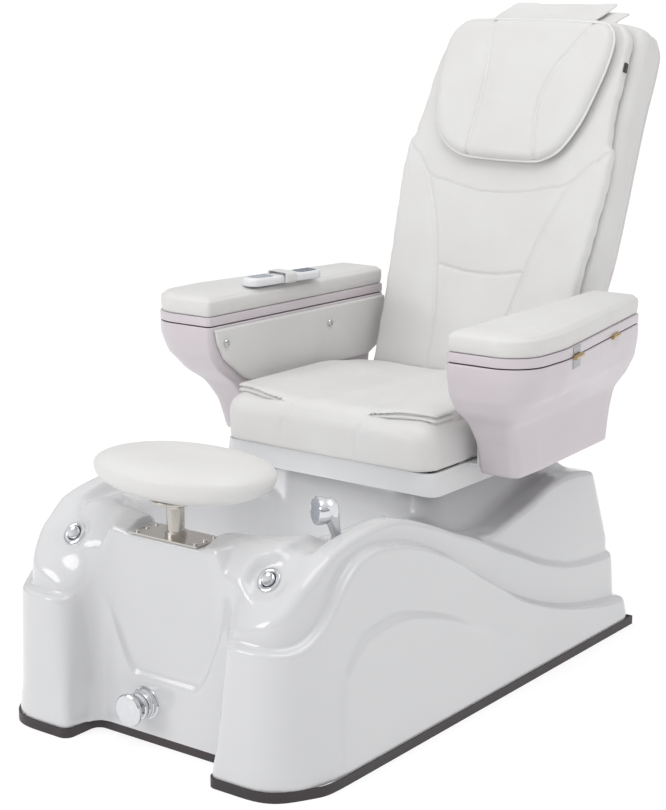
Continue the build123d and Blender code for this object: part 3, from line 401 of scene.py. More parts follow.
def acrylic_gloss():
    m = material("Acrylic", (0.635, 0.635, 0.645), 0.15, coat=0.5)
    add_tint(m, (0.62, 0.622, 0.632), (0.645, 0.646, 0.654), 2.4)
    add_rough(m, 0.13, 0.22, 30.0)
    ripple = node(m, "ShaderNodeTexNoise", Scale=14.0, Detail=2.0)
    add_bump(m, ripple, "Fac", 0.06, 0.002)
    return m


ACRYLIC = acrylic_gloss()
VINYL = vinyl("CreamVinyl", (0.70, 0.698, 0.692), (0.705, 0.694, 0.678))
UPHOLSTERY = vinyl("Upholstery", (0.69, 0.69, 0.68), (0.695, 0.686, 0.668))
PIPING = vinyl("Piping", (0.80, 0.80, 0.795), (0.78, 0.775, 0.765))
ABS = moulded("ShellPlastic", (0.615, 0.565, 0.595), (0.595, 0.545, 0.575), 0.34, 900.0)
TRAY = moulded("TrayPlastic", (0.72, 0.725, 0.73), (0.70, 0.705, 0.71), 0.4, 700.0)
TRIM = moulded("TrimRubber", (0.040, 0.030, 0.033), (0.022, 0.016, 0.018), 0.55, 500.0)
BLACK = moulded("BlackPlastic", (0.03, 0.03, 0.032), (0.02, 0.02, 0.022), 0.5, 800.0)
GREY = moulded("RemoteGrey", (0.22, 0.24, 0.29), (0.18, 0.20, 0.25), 0.32, 900.0)
LIGHT_GREY = moulded("RemoteLight", (0.42, 0.44, 0.50), (0.37, 0.39, 0.44), 0.3, 900.0)
REMOTE_WHITE = moulded("RemoteWhite", (0.78, 0.785, 0.80), (0.74, 0.745, 0.76), 0.3, 900.0)
RUBBER = moulded("Rubber", (0.10, 0.10, 0.11), (0.07, 0.07, 0.075), 0.7, 300.0)
PVC = moulded("Pvc", (0.62, 0.63, 0.62), (0.55, 0.56, 0.55), 0.4, 400.0)
FRAME_STEEL = moulded("PaintedSteel", (0.07, 0.075, 0.08), (0.05, 0.053, 0.057), 0.45, 350.0)
ZINC = metal("ZincSteel", (0.55, 0.56, 0.58), 0.38, brush=0.1)
CHROME = metal("Chrome", (0.72, 0.73, 0.75), 0.07)
STAINLESS = metal("Stainless", (0.58, 0.55, 0.51), 0.24, (30, 30, 1), brush=0.25)
LEAF = metal("HingeLeaf", (0.40, 0.41, 0.43), 0.3, (1, 1, 8), brush=0.2)
BRASS = metal("Brass", (0.55, 0.42, 0.22), 0.28, brush=0.1)


def finish(obj, m, body, nodes=()):
    """Material, body and what it replaces, for one piece."""
    obj.data.materials.clear()
    obj.data.materials.append(m)
    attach(obj, body)
    if nodes:
        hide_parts(*nodes)


# ---------------- camera and light
SKY = ((0.08, (0.33, 0.332, 0.338)), (0.25, (0.58, 0.582, 0.592)), (0.9, (1.12, 1.12, 1.12)))
FLOOR_REACH = 150000        # the floor is also the white background, so it goes out of sight


def add_camera():
    camera = add_object("Camera", bpy.data.cameras.new("Camera"))
    camera.location = (2.3195, -3.2478, 1.4779)
    camera.rotation_euler = (math.radians(77.1), 0, math.radians(36.8))
    camera.data.lens = 82.9
    camera.data.clip_end = 400
    bpy.context.scene.camera = camera


def add_sky():
    """Grey studio walls, bright at the foot and overhead."""
    world = bpy.data.worlds.new("Studio")
    bpy.context.scene.world = world
    world.use_nodes = True
    nodes, links = world.node_tree.nodes, world.node_tree.links
    background = nodes["Background"]
    direction = nodes.new("ShaderNodeTexCoord")
    split = nodes.new("ShaderNodeSeparateXYZ")
    ramp = nodes.new("ShaderNodeValToRGB")
    ramp.color_ramp.elements[0].color = (0.95, 0.95, 0.95, 1)
    for height, color in SKY:
        ramp.color_ramp.elements.new(height).color = (*color, 1)
    links.new(direction.outputs["Generated"], split.inputs["Vector"])
    links.new(split.outputs["Z"], ramp.inputs["Fac"])
    links.new(ramp.outputs["Color"], background.inputs["Color"])
    background.inputs["Strength"].default_value = 0.95


def add_lamp(name, kind, place, power):
    lamp = add_object(name, bpy.data.lights.new(name, kind))
    lamp.location = place
    lamp.data.energy = power
    return lamp


def add_disc_lamp(name, place, aim, size, power):
    lamp = add_lamp(name, "AREA", place, power)
    lamp.data.shape, lamp.data.size = "DISK", size
    lamp.rotation_euler = (Vector(aim) - Vector(place)).to_track_quat("-Z", "Y").to_euler()


def add_basin_lamp():
    """Faint light inside the basin, for what a white studio reflects into it; unseen itself."""
    lamp = add_lamp("Basin", "POINT", (0.02, -0.38, 0.26), 0.75)
    lamp.data.shadow_soft_size = 0.1
    lamp.visible_camera = lamp.visible_glossy = False


def add_floor():
    r = FLOOR_REACH
    floor = new_mesh("Floor", [(-r, -r, 0), (r, -r, 0), (r, r, 0), (-r, r, 0)], [(0, 1, 2, 3)])
    paint = material("Floor", (0.30, 0.30, 0.30), 0.9, spec=0.1)
    add_tint(paint, (0.295, 0.295, 0.295), (0.305, 0.305, 0.305), 1.5)
    shader = shader_of(paint)
    set_inputs(shader, {"Emission Color": (1, 1, 1, 1), "Emission Strength": 0.76})
    floor.data.materials.append(paint)


# ---------------- base moulding
HALF, FRONT, REAR, APRON, NOTCH = 390, -785, 497, -695, 185
CORNER_X, CORNER_Y, CORNER_POWER = 128, 195, 2.5
UPPER_NOTCH = 158
TUB_FOOT, LEDGE, DECK = 17, 424, 428
SILL_FRONT = -692
BRACKET_HALF = 97               # half width of the pocket for the footrest bracket
BASIN_FLOOR, DRAIN_Y, DRAIN_HOLE = 150, -360, 27
BUTTON, BUTTON_AIM, BUTTON_HOLE = (250, -679, 390), (0, -0.766, 0.643), 15.5
# Side profiles (y, z) of the ridges, the face of the centre block and the widening of the column.
BULGE = [(-634, 120), (-629, 173), (-607, 222), (-576, 256), (-502, 278), (-452, 280), (-349, 257),
         (-202, 198), (-84, 132), (0, 92), (80, 62), (150, 30)]
LOW_WAVE = [(-800, 285), (-705, 292), (-651, 334), (-611, 381), (-573, 410), (-510, 427), (-444, 420),
            (-376, 404), (-305, 376), (-232, 339), (-156, 291), (-77, 245), (4, 198), (89, 160),
            (176, 129), (266, 104), (359, 85), (520, 66)]
HIGH_WAVE = [(-800, 308), (-770, 320), (-722, 340), (-679, 390), (-635, 431), (-598, 444), (-535, 457),
             (-471, 462), (-404, 458), (-335, 439), (-264, 412), (-190, 380), (-114, 351), (-35, 314),
             (47, 278), (132, 240), (220, 211), (311, 193), (404, 183), (520, 187)]
TAIL_WAVE = [(-400, 240), (-250, 300), (-100, 340), (-20, 337), (60, 350), (143, 365), (228, 385),
             (300, 391), (360, 386), (430, 372), (520, 330)]
CENTRE_FACE = [(60, -664), (134, -662), (200, -665), (285, -682), (370, -688), (424, -692), (470, -694)]
COLUMN_FLARE = [(150, 70), (250, 56), (330, 38), (385, 16), (424, 2)]


def base_outline(x, y, notch=NOTCH, soft=34, edge=22):
    """Signed distance to the floor outline of the base, with the recess between the two lobes."""
    ax = np.abs(x)
    u = np.maximum(ax - (HALF - CORNER_X), 0) / CORNER_X
    v = np.maximum(FRONT + CORNER_Y - y, 0) / CORNER_Y
    k = (u**CORNER_POWER + v**CORNER_POWER) ** (1 / CORNER_POWER)
    safe = np.maximum(k, 1e-6)
    steep = np.hypot((u / safe) ** (CORNER_POWER - 1) / CORNER_X,
                     (v / safe) ** (CORNER_POWER - 1) / CORNER_Y)
    sides = (k - 1) / np.maximum(steep, 1 / CORNER_Y)
    whole = smax(sides, y - REAR, 36)
    recess = smax(ax - notch, y - APRON, soft)
    return smax(whole, -recess, edge)


def below(wave, y, z):
    """Rough signed distance to the space under a side profile."""
    height = curve(wave, y)
    slope = np.gradient(height, y.ravel(), axis=1)
    return (z - height) / np.sqrt(1 + slope**2)


def column_field(x, y, z):
    """Column under the seat, which flares out towards its foot."""
    return smax(round_box(x, y - 143, 235, 257, 45) - curve(COLUMN_FLARE, z), z - LEDGE, 3)


def basin_field(x, y, z):
    """Hollow of the foot basin, wider towards its rim."""
    rise = np.clip((z - BASIN_FLOOR) / (DECK - BASIN_FLOOR), -0.2, 1.4)
    half, front, back = 168 + 58 * rise, -562 - 44 * rise, -165 + 45 * rise
    flat = round_box(x, y - (front + back) / 2, half, (back - front) / 2, 82)
    return smax(flat, BASIN_FLOOR - z, 46)


def button_axis(x, y, z):
    """Height above the plane of the nearer air button, and distance from its axis."""
    rise = BUTTON_AIM[1] * (y - BUTTON[1]) + BUTTON_AIM[2] * (z - BUTTON[2])
    reach = (np.abs(x) - BUTTON[0])**2 + (y - BUTTON[1])**2 + (z - BUTTON[2])**2
    return rise, np.sqrt(np.maximum(reach - rise**2, 0))


def button_flat(body, x, y, z):
    """Levels the moulding round each air button, square to the button's axis."""
    rise, far = button_axis(x, y, z)
    share = smoothstep((52 - far) / 24) * (np.abs(rise) < 45)
    return body + (rise - body) * share


def tub_field(x, y, z):
    """The base moulding: terraces, centre block, sill, tail and column, less the basin and sockets."""
    ax = np.abs(x)
    outline = base_outline(x, y, edge=22 + 0.14 * np.maximum(z - 60, 0))
    upper = base_outline(x, y, notch=UPPER_NOTCH, soft=60, edge=54)
    # lowest terrace, with a faint bulge low on each side
    bulge = smax(BULGE[0][0] - y, below(BULGE, y, z), 24)
    low_inset = (4 + 0.03 * z) * smoothstep((z - 14) / 70) * (0.1 + 0.9 * smoothstep(0.5 + bulge / 26))
    low = smax(outline + low_inset, below(LOW_WAVE, y, z), 11)
    # second terrace, whose front shoulders rise towards the outside
    tilt = 0.3 * (ax - 250) * smoothstep((-640 - y) / 80) * (ax > 150)
    front_cap = LEDGE + 9 * smoothstep((ax - 92) / 60)
    deck_cap = DECK + 70 * smoothstep((ax - 286) / 46)
    cap = front_cap + (deck_cap - front_cap) * smoothstep((y + 640) / 70)
    high_top = smax(below(HIGH_WAVE, y, z - tilt), (z - cap) * 0.9, 12)
    high = smax(upper + 21 + 0.045 * z, high_top, 15 + 12 * smoothstep((-600 - y) / 60))
    # centre block under the footrest ledge, dished, with a U-shaped sill below
    shoulder = 404 + 1.0 * (y + 679) + 150 * (1 - smoothstep((ax - 84) / 80))
    face = curve(CENTRE_FACE, z) - 10 * smoothstep((ax - 110) / 90)
    block = smax(smax(face - y, ax - 236, 30), y + 560, 5)
    block = smax(block, (z - smin(front_cap, shoulder, 20)) * 0.8, 12)
    u_line = 128 + 200 * smoothstep((ax - 74) / 118)
    sill = smax(smax(SILL_FRONT - y, ax - 215, 10), smax((z - u_line) * 0.8, y + 560, 5), 9)
    tail = smax(outline + 39 + 0.16 * np.maximum(z - 215, 0), below(TAIL_WAVE, y, z), 10)
    body = smin(high, tail, 9)
    body = smin(body, block, 60)
    body = smin(body, smin(low, sill, 26), 9)
    body = smin(body, column_field(x, y, z), 30)
    body = smax(body, -basin_field(x, y, z), 20)
    body = button_flat(body, x, y, z)
    rise, far = button_axis(x, y, z)
    body = smax(body, -smax(far - BUTTON_HOLE, np.abs(rise) - 22, 2), 1.5)
    pocket = smax(smax(ax - BRACKET_HALF, y + 575, 10), LEDGE - 0.4 - z, 5)
    body = smax(body, -pocket, 5)
    return smax(body, TUB_FOOT - z, 1)


def drilled(field, grow=0.0):
    """The tub's field with its drain hole, narrower by grow."""
    def whole(x, y, z):
        drain = smax(np.hypot(x, y - DRAIN_Y) - DRAIN_HOLE + grow, np.abs(z - BASIN_FLOOR) - 40, 2)
        return smax(field(x, y, z), -drain, 3)
    return whole


def make_tub():
    """Outer skin and a coarser inner one, both open at the floor."""
    cell = 5
    low, high = (-HALF, FRONT, TUB_FOOT - 3), (HALF, REAR, 466)
    outer = skin("tub", drilled(tub_field), low, high, cell, keep=lambda v: v[:, 2] > TUB_FOOT + 0.6)
    inner = skin("tub_inside", lambda x, y, z: drilled(tub_field, 6)(x, y, z) + 7, low, high, 16,
                 keep=lambda v: v[:, 2] > TUB_FOOT + 9)
    inner.data.flip_normals()
    tub = join("tub_moulding", [outer, inner])
    finish(tub, ACRYLIC, "base", ["tub_shell"])


# ---------------- shared shapes
def fine(cell):
    return cell


def rounded(corners, radii, arc=9, straight=7):
    """Closed outline with rounded corners, always with the same number of points."""
    p = np.array(corners, float)
    n = len(p)
    arcs = []
    for i in range(n):
        u, v = p[i - 1] - p[i], p[(i + 1) % n] - p[i]
        u, v = u / np.hypot(*u), v / np.hypot(*v)
        half = math.acos(np.clip(u @ v, -1, 1)) / 2
        r = max(radii[i], 0.5)
        centre = p[i] + (u + v) / np.hypot(*(u + v)) * r / math.sin(half)
        first = p[i] + u * r / math.tan(half) - centre
        last = p[i] + v * r / math.tan(half) - centre
        a = math.atan2(first[1], first[0])
        sweep = (math.atan2(last[1], last[0]) - a + math.pi) % (2 * math.pi) - math.pi
        turn = a + sweep * np.linspace(0, 1, arc)
        arcs.append(centre + r * np.stack([np.cos(turn), np.sin(turn)], 1))
    out = []
    for i in range(n):
        a, b = arcs[i][-1], arcs[(i + 1) % n][0]
        out.append(arcs[i])
        out.append(a + (b - a) * np.linspace(0, 1, straight + 2)[1:-1, None])
    return np.vstack(out)


def loft(name, rings, angle=40):
    """Closed solid through rings of 3-D points, with flat ends."""
    n = len(rings[0])
    faces = [list(range(n))[::-1], list(range((len(rings) - 1) * n, len(rings) * n))]
    for k in range(len(rings) - 1):
        for i in range(n):
            j = (i + 1) % n
            faces.append([k * n + i, k * n + j, k * n + n + j, k * n + n + i])
    obj = new_mesh(name, np.vstack(rings), faces)
    bm = bmesh.new()
    bm.from_mesh(obj.data)
    bmesh.ops.recalc_face_normals(bm, faces=bm.faces)
    bm.to_mesh(obj.data)
    bm.free()
    return flat_normals(obj, angle)


def level(ring, z):
    return np.hstack([ring, np.full((len(ring), 1), float(z))])


def tile(name, matrix, centre, half_x, half_y, radius, levels, arc=6, straight=2):
    """Flat piece with rounded corners, from its (scale, height) levels in a local frame."""
    ring = rounded([(-half_x, -half_y), (half_x, -half_y), (half_x, half_y), (-half_x, half_y)],
                   [radius] * 4, arc, straight)
    return loft(name, [onto(matrix)(level(ring * k + np.array(centre), h)) for k, h in levels])


def around(*circles):
    """Points spread evenly round circles, each given as (count, radius)."""
    for count, radius in circles:
        for a in 2 * np.pi * np.arange(count) / count:
            yield radius * math.cos(a), radius * math.sin(a)


def side_name(side):
    return "left" if side > 0 else "right"


def turned(name, profile, matrix, m, body, nodes):
    """Finished solid of revolution."""
    finish(lathe(name, profile, matrix), m, body, nodes)


def cushion(name, field, low, high, cell, body, nodes, place=None):
    """Padded piece in cream vinyl, from its field to what it replaces."""
    obj = skin(name, field, low, high, cell, place)
    finish(obj, VINYL, body, nodes)
    return obj


# ---------------- seat
SEAT_HALF, SEAT_FRONT, SEAT_REAR = 275, -194, 321
SEAT_LOW, SEAT_WAIST, SEAT_TOP = 489, 552, 599
SEAT_ROLL = 46          # width of the rounding along the top edge


def seat_top(x, y):
    """Height of the seat cushion, lower under the side covers."""
    ax = np.abs(x)
    ridge = 3.5 * np.exp(-((x + 18 - 0.08 * (y + 100)) / 26) ** 2)
    return SEAT_TOP + ridge - 9 * smoothstep((ax - 110) / 130) - 5 * smoothstep((y - 150) / 160)


def seat_plan(x, y):
    middle = (SEAT_FRONT + SEAT_REAR) / 2
    return round_box(x, y - middle, SEAT_HALF, (SEAT_REAR - SEAT_FRONT) / 2, 52)


def seat_field(x, y, z):
    """Cushion, widest at its waist, with two seams and a pleat in its front."""
    above = z - SEAT_WAIST
    bulge = np.where(above > 0, 7 * (above / 52) ** 2, 2 * (above / 64) ** 2)
    body = smax(smax(seat_plan(x, y) + bulge, z - seat_top(x, y), SEAT_ROLL), SEAT_LOW - z, 5)
    seam_left = np.abs(x + 106 - 22 * smoothstep((z - 530) / 60))
    seam_right = np.abs(x - 92 - 30 * smoothstep((z - 545) / 50))
    front = smoothstep((-140 - y) / 30) * smoothstep((z - 496) / 14)
    pleat = groove(np.abs(x - 262 + 0.25 * (z - 520)), 7, 3) * smoothstep((560 - z) / 30)
    return body + (groove(seam_left, 4, 3) + groove(seam_right, 4, 3) + pleat) * front


def make_seat_cushion():
    cushion("seat_cushion_soft", seat_field, (-SEAT_HALF, SEAT_FRONT, SEAT_LOW),
            (SEAT_HALF, SEAT_REAR, SEAT_TOP + 7), fine(5), "seat", ["seat_cushion"])


def wing_field(side):
    """One side cover: it rises out of the cushion and ends in two folded layers at the front."""
    def field(x, y, z):
        ax = x * side
        share = smoothstep((ax - 82) / 120)
        inside = -seat_plan(x, y) - 4
        front = SEAT_FRONT + 12 + 32 * smoothstep((ax - 140) / 120)
        drop = (math.sqrt(SEAT_ROLL) - np.sqrt(np.clip(inside, 0, SEAT_ROLL))) ** 2
        rear = 0.35 + 0.65 * smoothstep((300 - y) / 160)
        top = seat_top(x, y) - 1.2 - drop * (1 - 0.75 * share) + 19 * share * rear
        wall = smax(smax(smax(8 - inside, front - y, 12), y - 312, 16), 78 - ax, 3)
        body = smax(smax(wall, z - top, 6), seat_top(x, y) - 44 - z, 3)
        folds = groove(z - top + 3.5 + 5 * share, 2, 9) + groove(z - top + 6 + 14 * share, 2.2, 8)
        near = np.exp(-(np.maximum(-wall, 0) / 15) ** 4) * smoothstep((-60 - y) / 40)
        return body + folds * near * smoothstep((ax - 100) / 30)
    return field


def make_wing(side):
    low, high = sorted([side * 74, side * 276])
    cushion("seat_cover_" + side_name(side), wing_field(side), (low, -196, 552), (high, 320, 634),
            fine(2.5), "seat", ["seat_cover"])


# ---------------- armrests
ARM_KEYS = np.array([  # height, front, rear, outer edge at the front, outer edge at the rear
    (467, -42, 358, 396, 374), (540, -66, 361, 403, 380), (590, -104, 368, 414, 388),
    (622, -149, 394, 446, 401), (655, -176, 412, 482, 409), (700, -186, 418, 497, 413),
    (728, -188, 418, 497, 413)], float)
ARM_WALL, ARM_TAIL = 4, 27      # wall thickness; how far the shells go on behind the keys
ARM_FOOT, ARM_TOP = 467, 728
LINING, LINING_BOLTS = 9.2, ((-141, 690), (223, 684))


def arm_inner(y):
    """Inner face of an armrest; the two converge slightly towards the back."""
    return 309 - 0.035 * (y + 185)


def arm_ring(z, inset=0.0):
    """Plan outline of the left armrest at a height."""
    smooth = [float(curve(ARM_KEYS[:, [0, i]], z)) for i in (1, 2, 3, 4)]
    straight = [float(np.interp(z, ARM_KEYS[:, 0], ARM_KEYS[:, i])) for i in (1, 2, 3, 4)]
    front, rear, outer_front, outer_rear = (0.3 * a + 0.7 * b for a, b in zip(smooth, straight))
    front, rear = front + inset, rear + ARM_TAIL - inset
    outer_front, outer_rear = outer_front - inset, outer_rear - inset
    corner = 22 + 60 * float(smoothstep((z - 590) / 70)) - inset
    bend = max(-20, front + 86)
    return rounded([(arm_inner(front) + inset, front), (outer_front, front), (outer_front, bend),
                    (outer_rear, rear), (arm_inner(rear) + inset, rear)],
                   [12 - inset, corner, 260, 20 - inset, 12 - inset])


def mirrored(rings, side):
    return [ring * np.array([side, 1, 1]) for ring in rings]


def make_arm_shell(side):
    """Open box: up the outside with rounded edges, then down the inside to its floor."""
    foot, top = ARM_FOOT, ARM_TOP
    rings = [level(arm_ring(foot, 5), foot), level(arm_ring(foot, 1.5), foot + 0.6),
             level(arm_ring(foot + 3), foot + 3)]
    rings += [level(arm_ring(z), z) for z in np.linspace(foot + 11, top - 3, 40)]
    rings += [level(arm_ring(top, 0.8), top - 0.4), level(arm_ring(top, 2), top)]
    rings += [level(arm_ring(z, ARM_WALL), z) for z in np.linspace(top - 1, foot + 5, 20)]
    name = side_name(side)
    case = loft("armrest_case_" + name, mirrored(rings, side), 60)
    finish(case, ABS, "seat", ["armrest_shell_" + name])


def make_lid_frame(side):
    """Rim of a lid, hollow underneath."""
    rings = [level(arm_ring(ARM_TOP, inset), z)
             for inset, z in ((12, 737.5), (10, 730.4), (2, 730.4), (0.4, 731), (0, 733), (0, 747),
                              (0.5, 749.3), (2, 749.9))]
    name = side_name(side)
    rim = loft("lid_rim_" + name, mirrored(rings, side), 50)
    finish(rim, ABS, "lid_" + name, ["lid_frame_" + name])


def make_lid_pad(side):
    """Crowned cushion of a lid, with a seam along its top edge and a hem along its foot."""
    ring = arm_ring(ARM_TOP, 1.5)

    def field(x, y, z):
        edge = to_outline(x * side, y, ring)
        swell = 2.5 * ((z - 770) / 24) ** 2
        crown = 791.5 + 5 * smoothstep(-edge / 55)
        body = smax(smax(edge + swell, z - crown, 13), 750.2 - z, 5)
        seam = np.hypot(edge + 6.5, z - 789)
        hem = np.hypot(edge, z - 757)
        return body + groove(seam, 3.4, 2.4) + groove(hem, 3.0, 1.6)

    low, high = sorted([side * 286, side * 498])
    name = side_name(side)
    cushion("lid_cushion_" + name, field, (low, -188, 750), (high, 446, 798), fine(3.4),
            "lid_" + name, ["lid_pad_" + name])


PANEL_EDGE = [(-176, 724), (-168, 690), (-148, 652), (-110, 622), (-82, 600), (-40, 584), (372, 584),
              (424, 610), (438, 650), (438, 724)]


def make_arm_panel(side):
    """Padded inner face of an armrest: thin, with a rolled edge and a dimple round each bolt."""
    ring = np.array(PANEL_EDGE, float)

    def field(y, z, t):
        edge = to_outline(y, z, ring)
        dimples = sum(groove(np.hypot(y - a, z - b), 13, 1.6) for a, b in LINING_BOLTS)
        return smax(smax(edge + 1, t - LINING + dimples, 5), 0.2 - t, 1)

    def place(p):
        y, z, t = p.T
        return np.stack([side * (arm_inner(y) - t), y, z], 1)

    name = side_name(side)
    obj = skin("armrest_lining_" + name, field, (-176, 582, 0), (438, 724, 9.5), fine(2.6), place)
    if side > 0:
        obj.data.flip_normals()
    finish(obj, VINYL, "seat", ["armrest_panel_" + name])


# ---------------- backrest
BACK = plane((0, 534, 1086), (1, 0, 0), (0, -0.9385, 0.3453))
# Outlines of the backrest in its own plane: from the middle of the foot up to the middle of the top,
# first the side at +X, then the side at -X with the sign of x turned.
BODY_FOOT = [(200, -549), (254, -546), (263, -520), (266, -390), (282, -240)]
BODY_RIGHT = BODY_FOOT + [(285, -92), (285, 0), (286, 120), (291, 240), (284, 292), (252, 320), (130, 334),
                          (0, 335)]
BODY_LEFT = BODY_FOOT + [(282, -92), (276, 0), (258, 120), (236, 230), (208, 280), (170, 306), (110, 322),
                         (0, 335)]
COVER_FOOT = [(200, -548), (246, -546), (253, -520), (256, -390), (266, -242), (278, -92), (279, 3)]
COVER_RIGHT = COVER_FOOT + [(268, 24), (265, 60), (263, 110), (266, 180), (268, 258), (252, 296),
                            (220, 312), (100, 322), (0, 326)]
COVER_LEFT = COVER_FOOT + [(266, 24), (260, 60), (252, 110), (243, 180), (229, 240), (205, 284),
                           (168, 306), (100, 320), (0, 326)]
COVER_SEAMS = [
    [(-273, 3), (-194, -75), (-135, -91), (-71, -105), (-23, -110), (71, -105), (135, -91), (192, -75),
     (273, 3)],
    [(-242, -21), (-194, -83), (-140, -217), (-106, -374), (-100, -402), (-96, -538)],
    [(242, -21), (194, -83), (140, -217), (106, -374), (100, -402), (96, -538)],
    [(-115, -292), (-76, -298), (-18, -305), (50, -303), (113, -292)]]
PILLOW_EDGE = [(-33, -34), (-105, -26), (-162, 8), (-187, 57), (-199, 126), (-204, 201), (-194, 261),
               (-166, 293), (-121, 303), (38, 304), (198, 299), (226, 290), (241, 268), (244, 238),
               (236, 184), (218, 117), (198, 58), (164, 0), (128, -26), (88, -35)]
PILLOW_SEAMS = [[(-80, 300), (-74, 234), (-68, 149), (-73, 75), (-82, -10), (-84, -30)],
                [(186, 300), (178, 280), (151, 239), (118, 191), (95, 130), (88, 70), (98, -13), (102, -34)]]
FOAM_LOW, FOAM_HIGH = -117.5, -22.5
SLOT_HALF, SLOT_LOW, SLOT_HIGH = 112, -500, 236


def two_sided(right, left):
    """Closed outline from its two halves; the left half is given with positive x."""
    return smooth_path(right + [(-x, y) for x, y in left[::-1] if x > 0], 6, closed=True)


def carriage_slot(x, s, grow=0):
    """Field of the upright slot that the massage carriage runs in."""
    return np.maximum(np.abs(x) - SLOT_HALF - grow, np.maximum(s - SLOT_HIGH, SLOT_LOW - s) - grow)


def make_back_body():
    """Foam body behind the cover."""
    ring = two_sided(BODY_RIGHT, BODY_LEFT)

    def field(x, s, d):
        edge = to_outline(x, s, ring)
        rise = 8 * smoothstep((-edge - 34) / 20)
        pull = 2.5 * np.exp(-((d + 96) / 9) ** 2)
        body = smax(smax(edge + 1 + pull, d - FOAM_HIGH + 8 - rise, 34), FOAM_LOW - d, 10)
        return smax(body, -carriage_slot(x, s), 4)

    obj = skin("back_body", field, (-296, -552, -119), (296, 360, -18), fine(6), onto(BACK))
    finish(obj, UPHOLSTERY, "backrest", ["back_cushion"])


def make_back_shell():
    """Moulded rear shell: rounded towards its back, with a raised panel and vent slots behind."""
    ring = two_sided(BODY_RIGHT, BODY_LEFT)

    def field(x, s, d):
        edge = to_outline(x, s, ring)
        panel = smax(edge + 58, -154.5 - d, 6)
        body = smax(smax(edge + 8, -151 - d, 30), d + 118.4, 3)
        body = smin(body, smax(panel, d + 130, 3), 8)
        hollow = np.maximum(carriage_slot(x, s, 4), -144 - d)
        vents = np.minimum(np.abs((s - 150) % 22 - 11), 30) - 3.2
        vents = np.maximum(vents, np.maximum(np.abs(x) - 86, np.abs(s - 210) - 44))
        return smax(smax(body, -hollow, 3), -vents, 2)

    casing = skin("back_casing", field, (-296, -552, -156), (296, 360, -117), fine(5), onto(BACK))
    finish(casing, ABS, "backrest", ["back_shell"])


def make_back_cover():
    """Quilted cover: puffed between its seams, with a slightly wavy edge."""
    ring = two_sided(COVER_RIGHT, COVER_LEFT)
    paths = [smooth_path(p, 6) for p in COVER_SEAMS]

    def field(x, s, d):
        edge = to_outline(x, s, ring)
        seams = [to_line(x, s, p) for p in paths]
        nearest = np.minimum.reduce(seams)
        puff = 8 * (1 - np.exp(-np.maximum(-edge, 0) / 20)) + 3.5 * (1 - np.exp(-nearest / 26))
        puff = puff * (1 - 0.75 * smoothstep((-380 - s) / 120))
        top = d - puff + groove(nearest, 2.8, 3.2)
        edge = edge + 1.5 * np.sin(s / 31) * np.sin(s / 12 + 1)
        return smax(smax(edge + 1, top, 11), -21.9 - d, 5)

    cushion("back_cover_soft", field, (-288, -552, -22), (288, 332, 15), fine(3.6),
            "backrest", ["back_cover"], onto(BACK))


def make_pillow():
    """Head pillow with piping round its edge and a cord along each seam."""
    ring = smooth_path(PILLOW_EDGE, 5, closed=True)
    paths = [smooth_path(p, 5) for p in PILLOW_SEAMS]

    def field(x, s, d):
        edge = to_outline(x, s, ring)
        nearest = np.minimum.reduce([to_line(x, s, p) for p in paths])
        crown = 47 - 4 * np.exp(-nearest / 20) + 5 * np.exp(-((s - 150) / 110) ** 2)
        front = smax(edge, d - crown, 26)
        body = smax(front, 14 - d, 16)
        return body + groove(nearest, 3.0, 3.4)

    pillow = cushion("pillow_soft", field, (-250, -60, 12), (250, 312, 68), fine(3.2),
                     "backrest", ["head_pillow"], onto(BACK))
    cord = [(x, s, 30) for x, s in ring]
    piping = tube("pillow_piping", onto(BACK)(cord), 3.0, closed=True)
    finish(piping, PIPING, "backrest")
    for number, path in enumerate(paths):
        laid = on_surface(pillow, onto(BACK)([(x, s, 60) for x, s in path if s < 288]), -BACK[:3, 2], 0.6)
        finish(tube("pillow_seam_%d" % number, laid, 1.5), PIPING, "backrest")


def make_top_flaps():
    """Two flat flaps of the cover, folded back over the top of the backrest."""
    for name, middle, half, start, rise in (("flap_upper", 31, 140, 322, 1.2),
                                            ("flap_lower", 56, 152, 309, 1.0)):

        def field(x, s, d, middle=middle, half=half, start=start, rise=rise):
            back = -(d + 18)
            creases = 1.0 * np.sin(x / 19 + back / 9) + 0.8 * np.sin(x / 43 - back / 15)
            sheet = np.abs(s - start - rise * back - creases) / math.hypot(1, rise) - 2.4
            return smax(round_box(x - middle - 0.6 * (back - 20), back - 20, half, 24, 7), sheet, 3)

        cushion(name, field, (middle - half - 18, start - 12, -64), (middle + half + 18, start + 60, 8),
                fine(2.2), "backrest", (), onto(BACK))


def make_back_tag():
    """Short black loop sewn into the right edge of the back cover."""
    levels = ((0.9, -12), (1, -11), (1, 0), (0.9, 1))
    tag = tile("back_tag", BACK, (267, 206), 2.5, 11, 1, levels, 4)
    finish(tag, BLACK, "backrest")


# ---------------- remote
REMOTE = plane((-316, 80, 797.3), (0.156, 0.988, 0), (0, 0, 1))


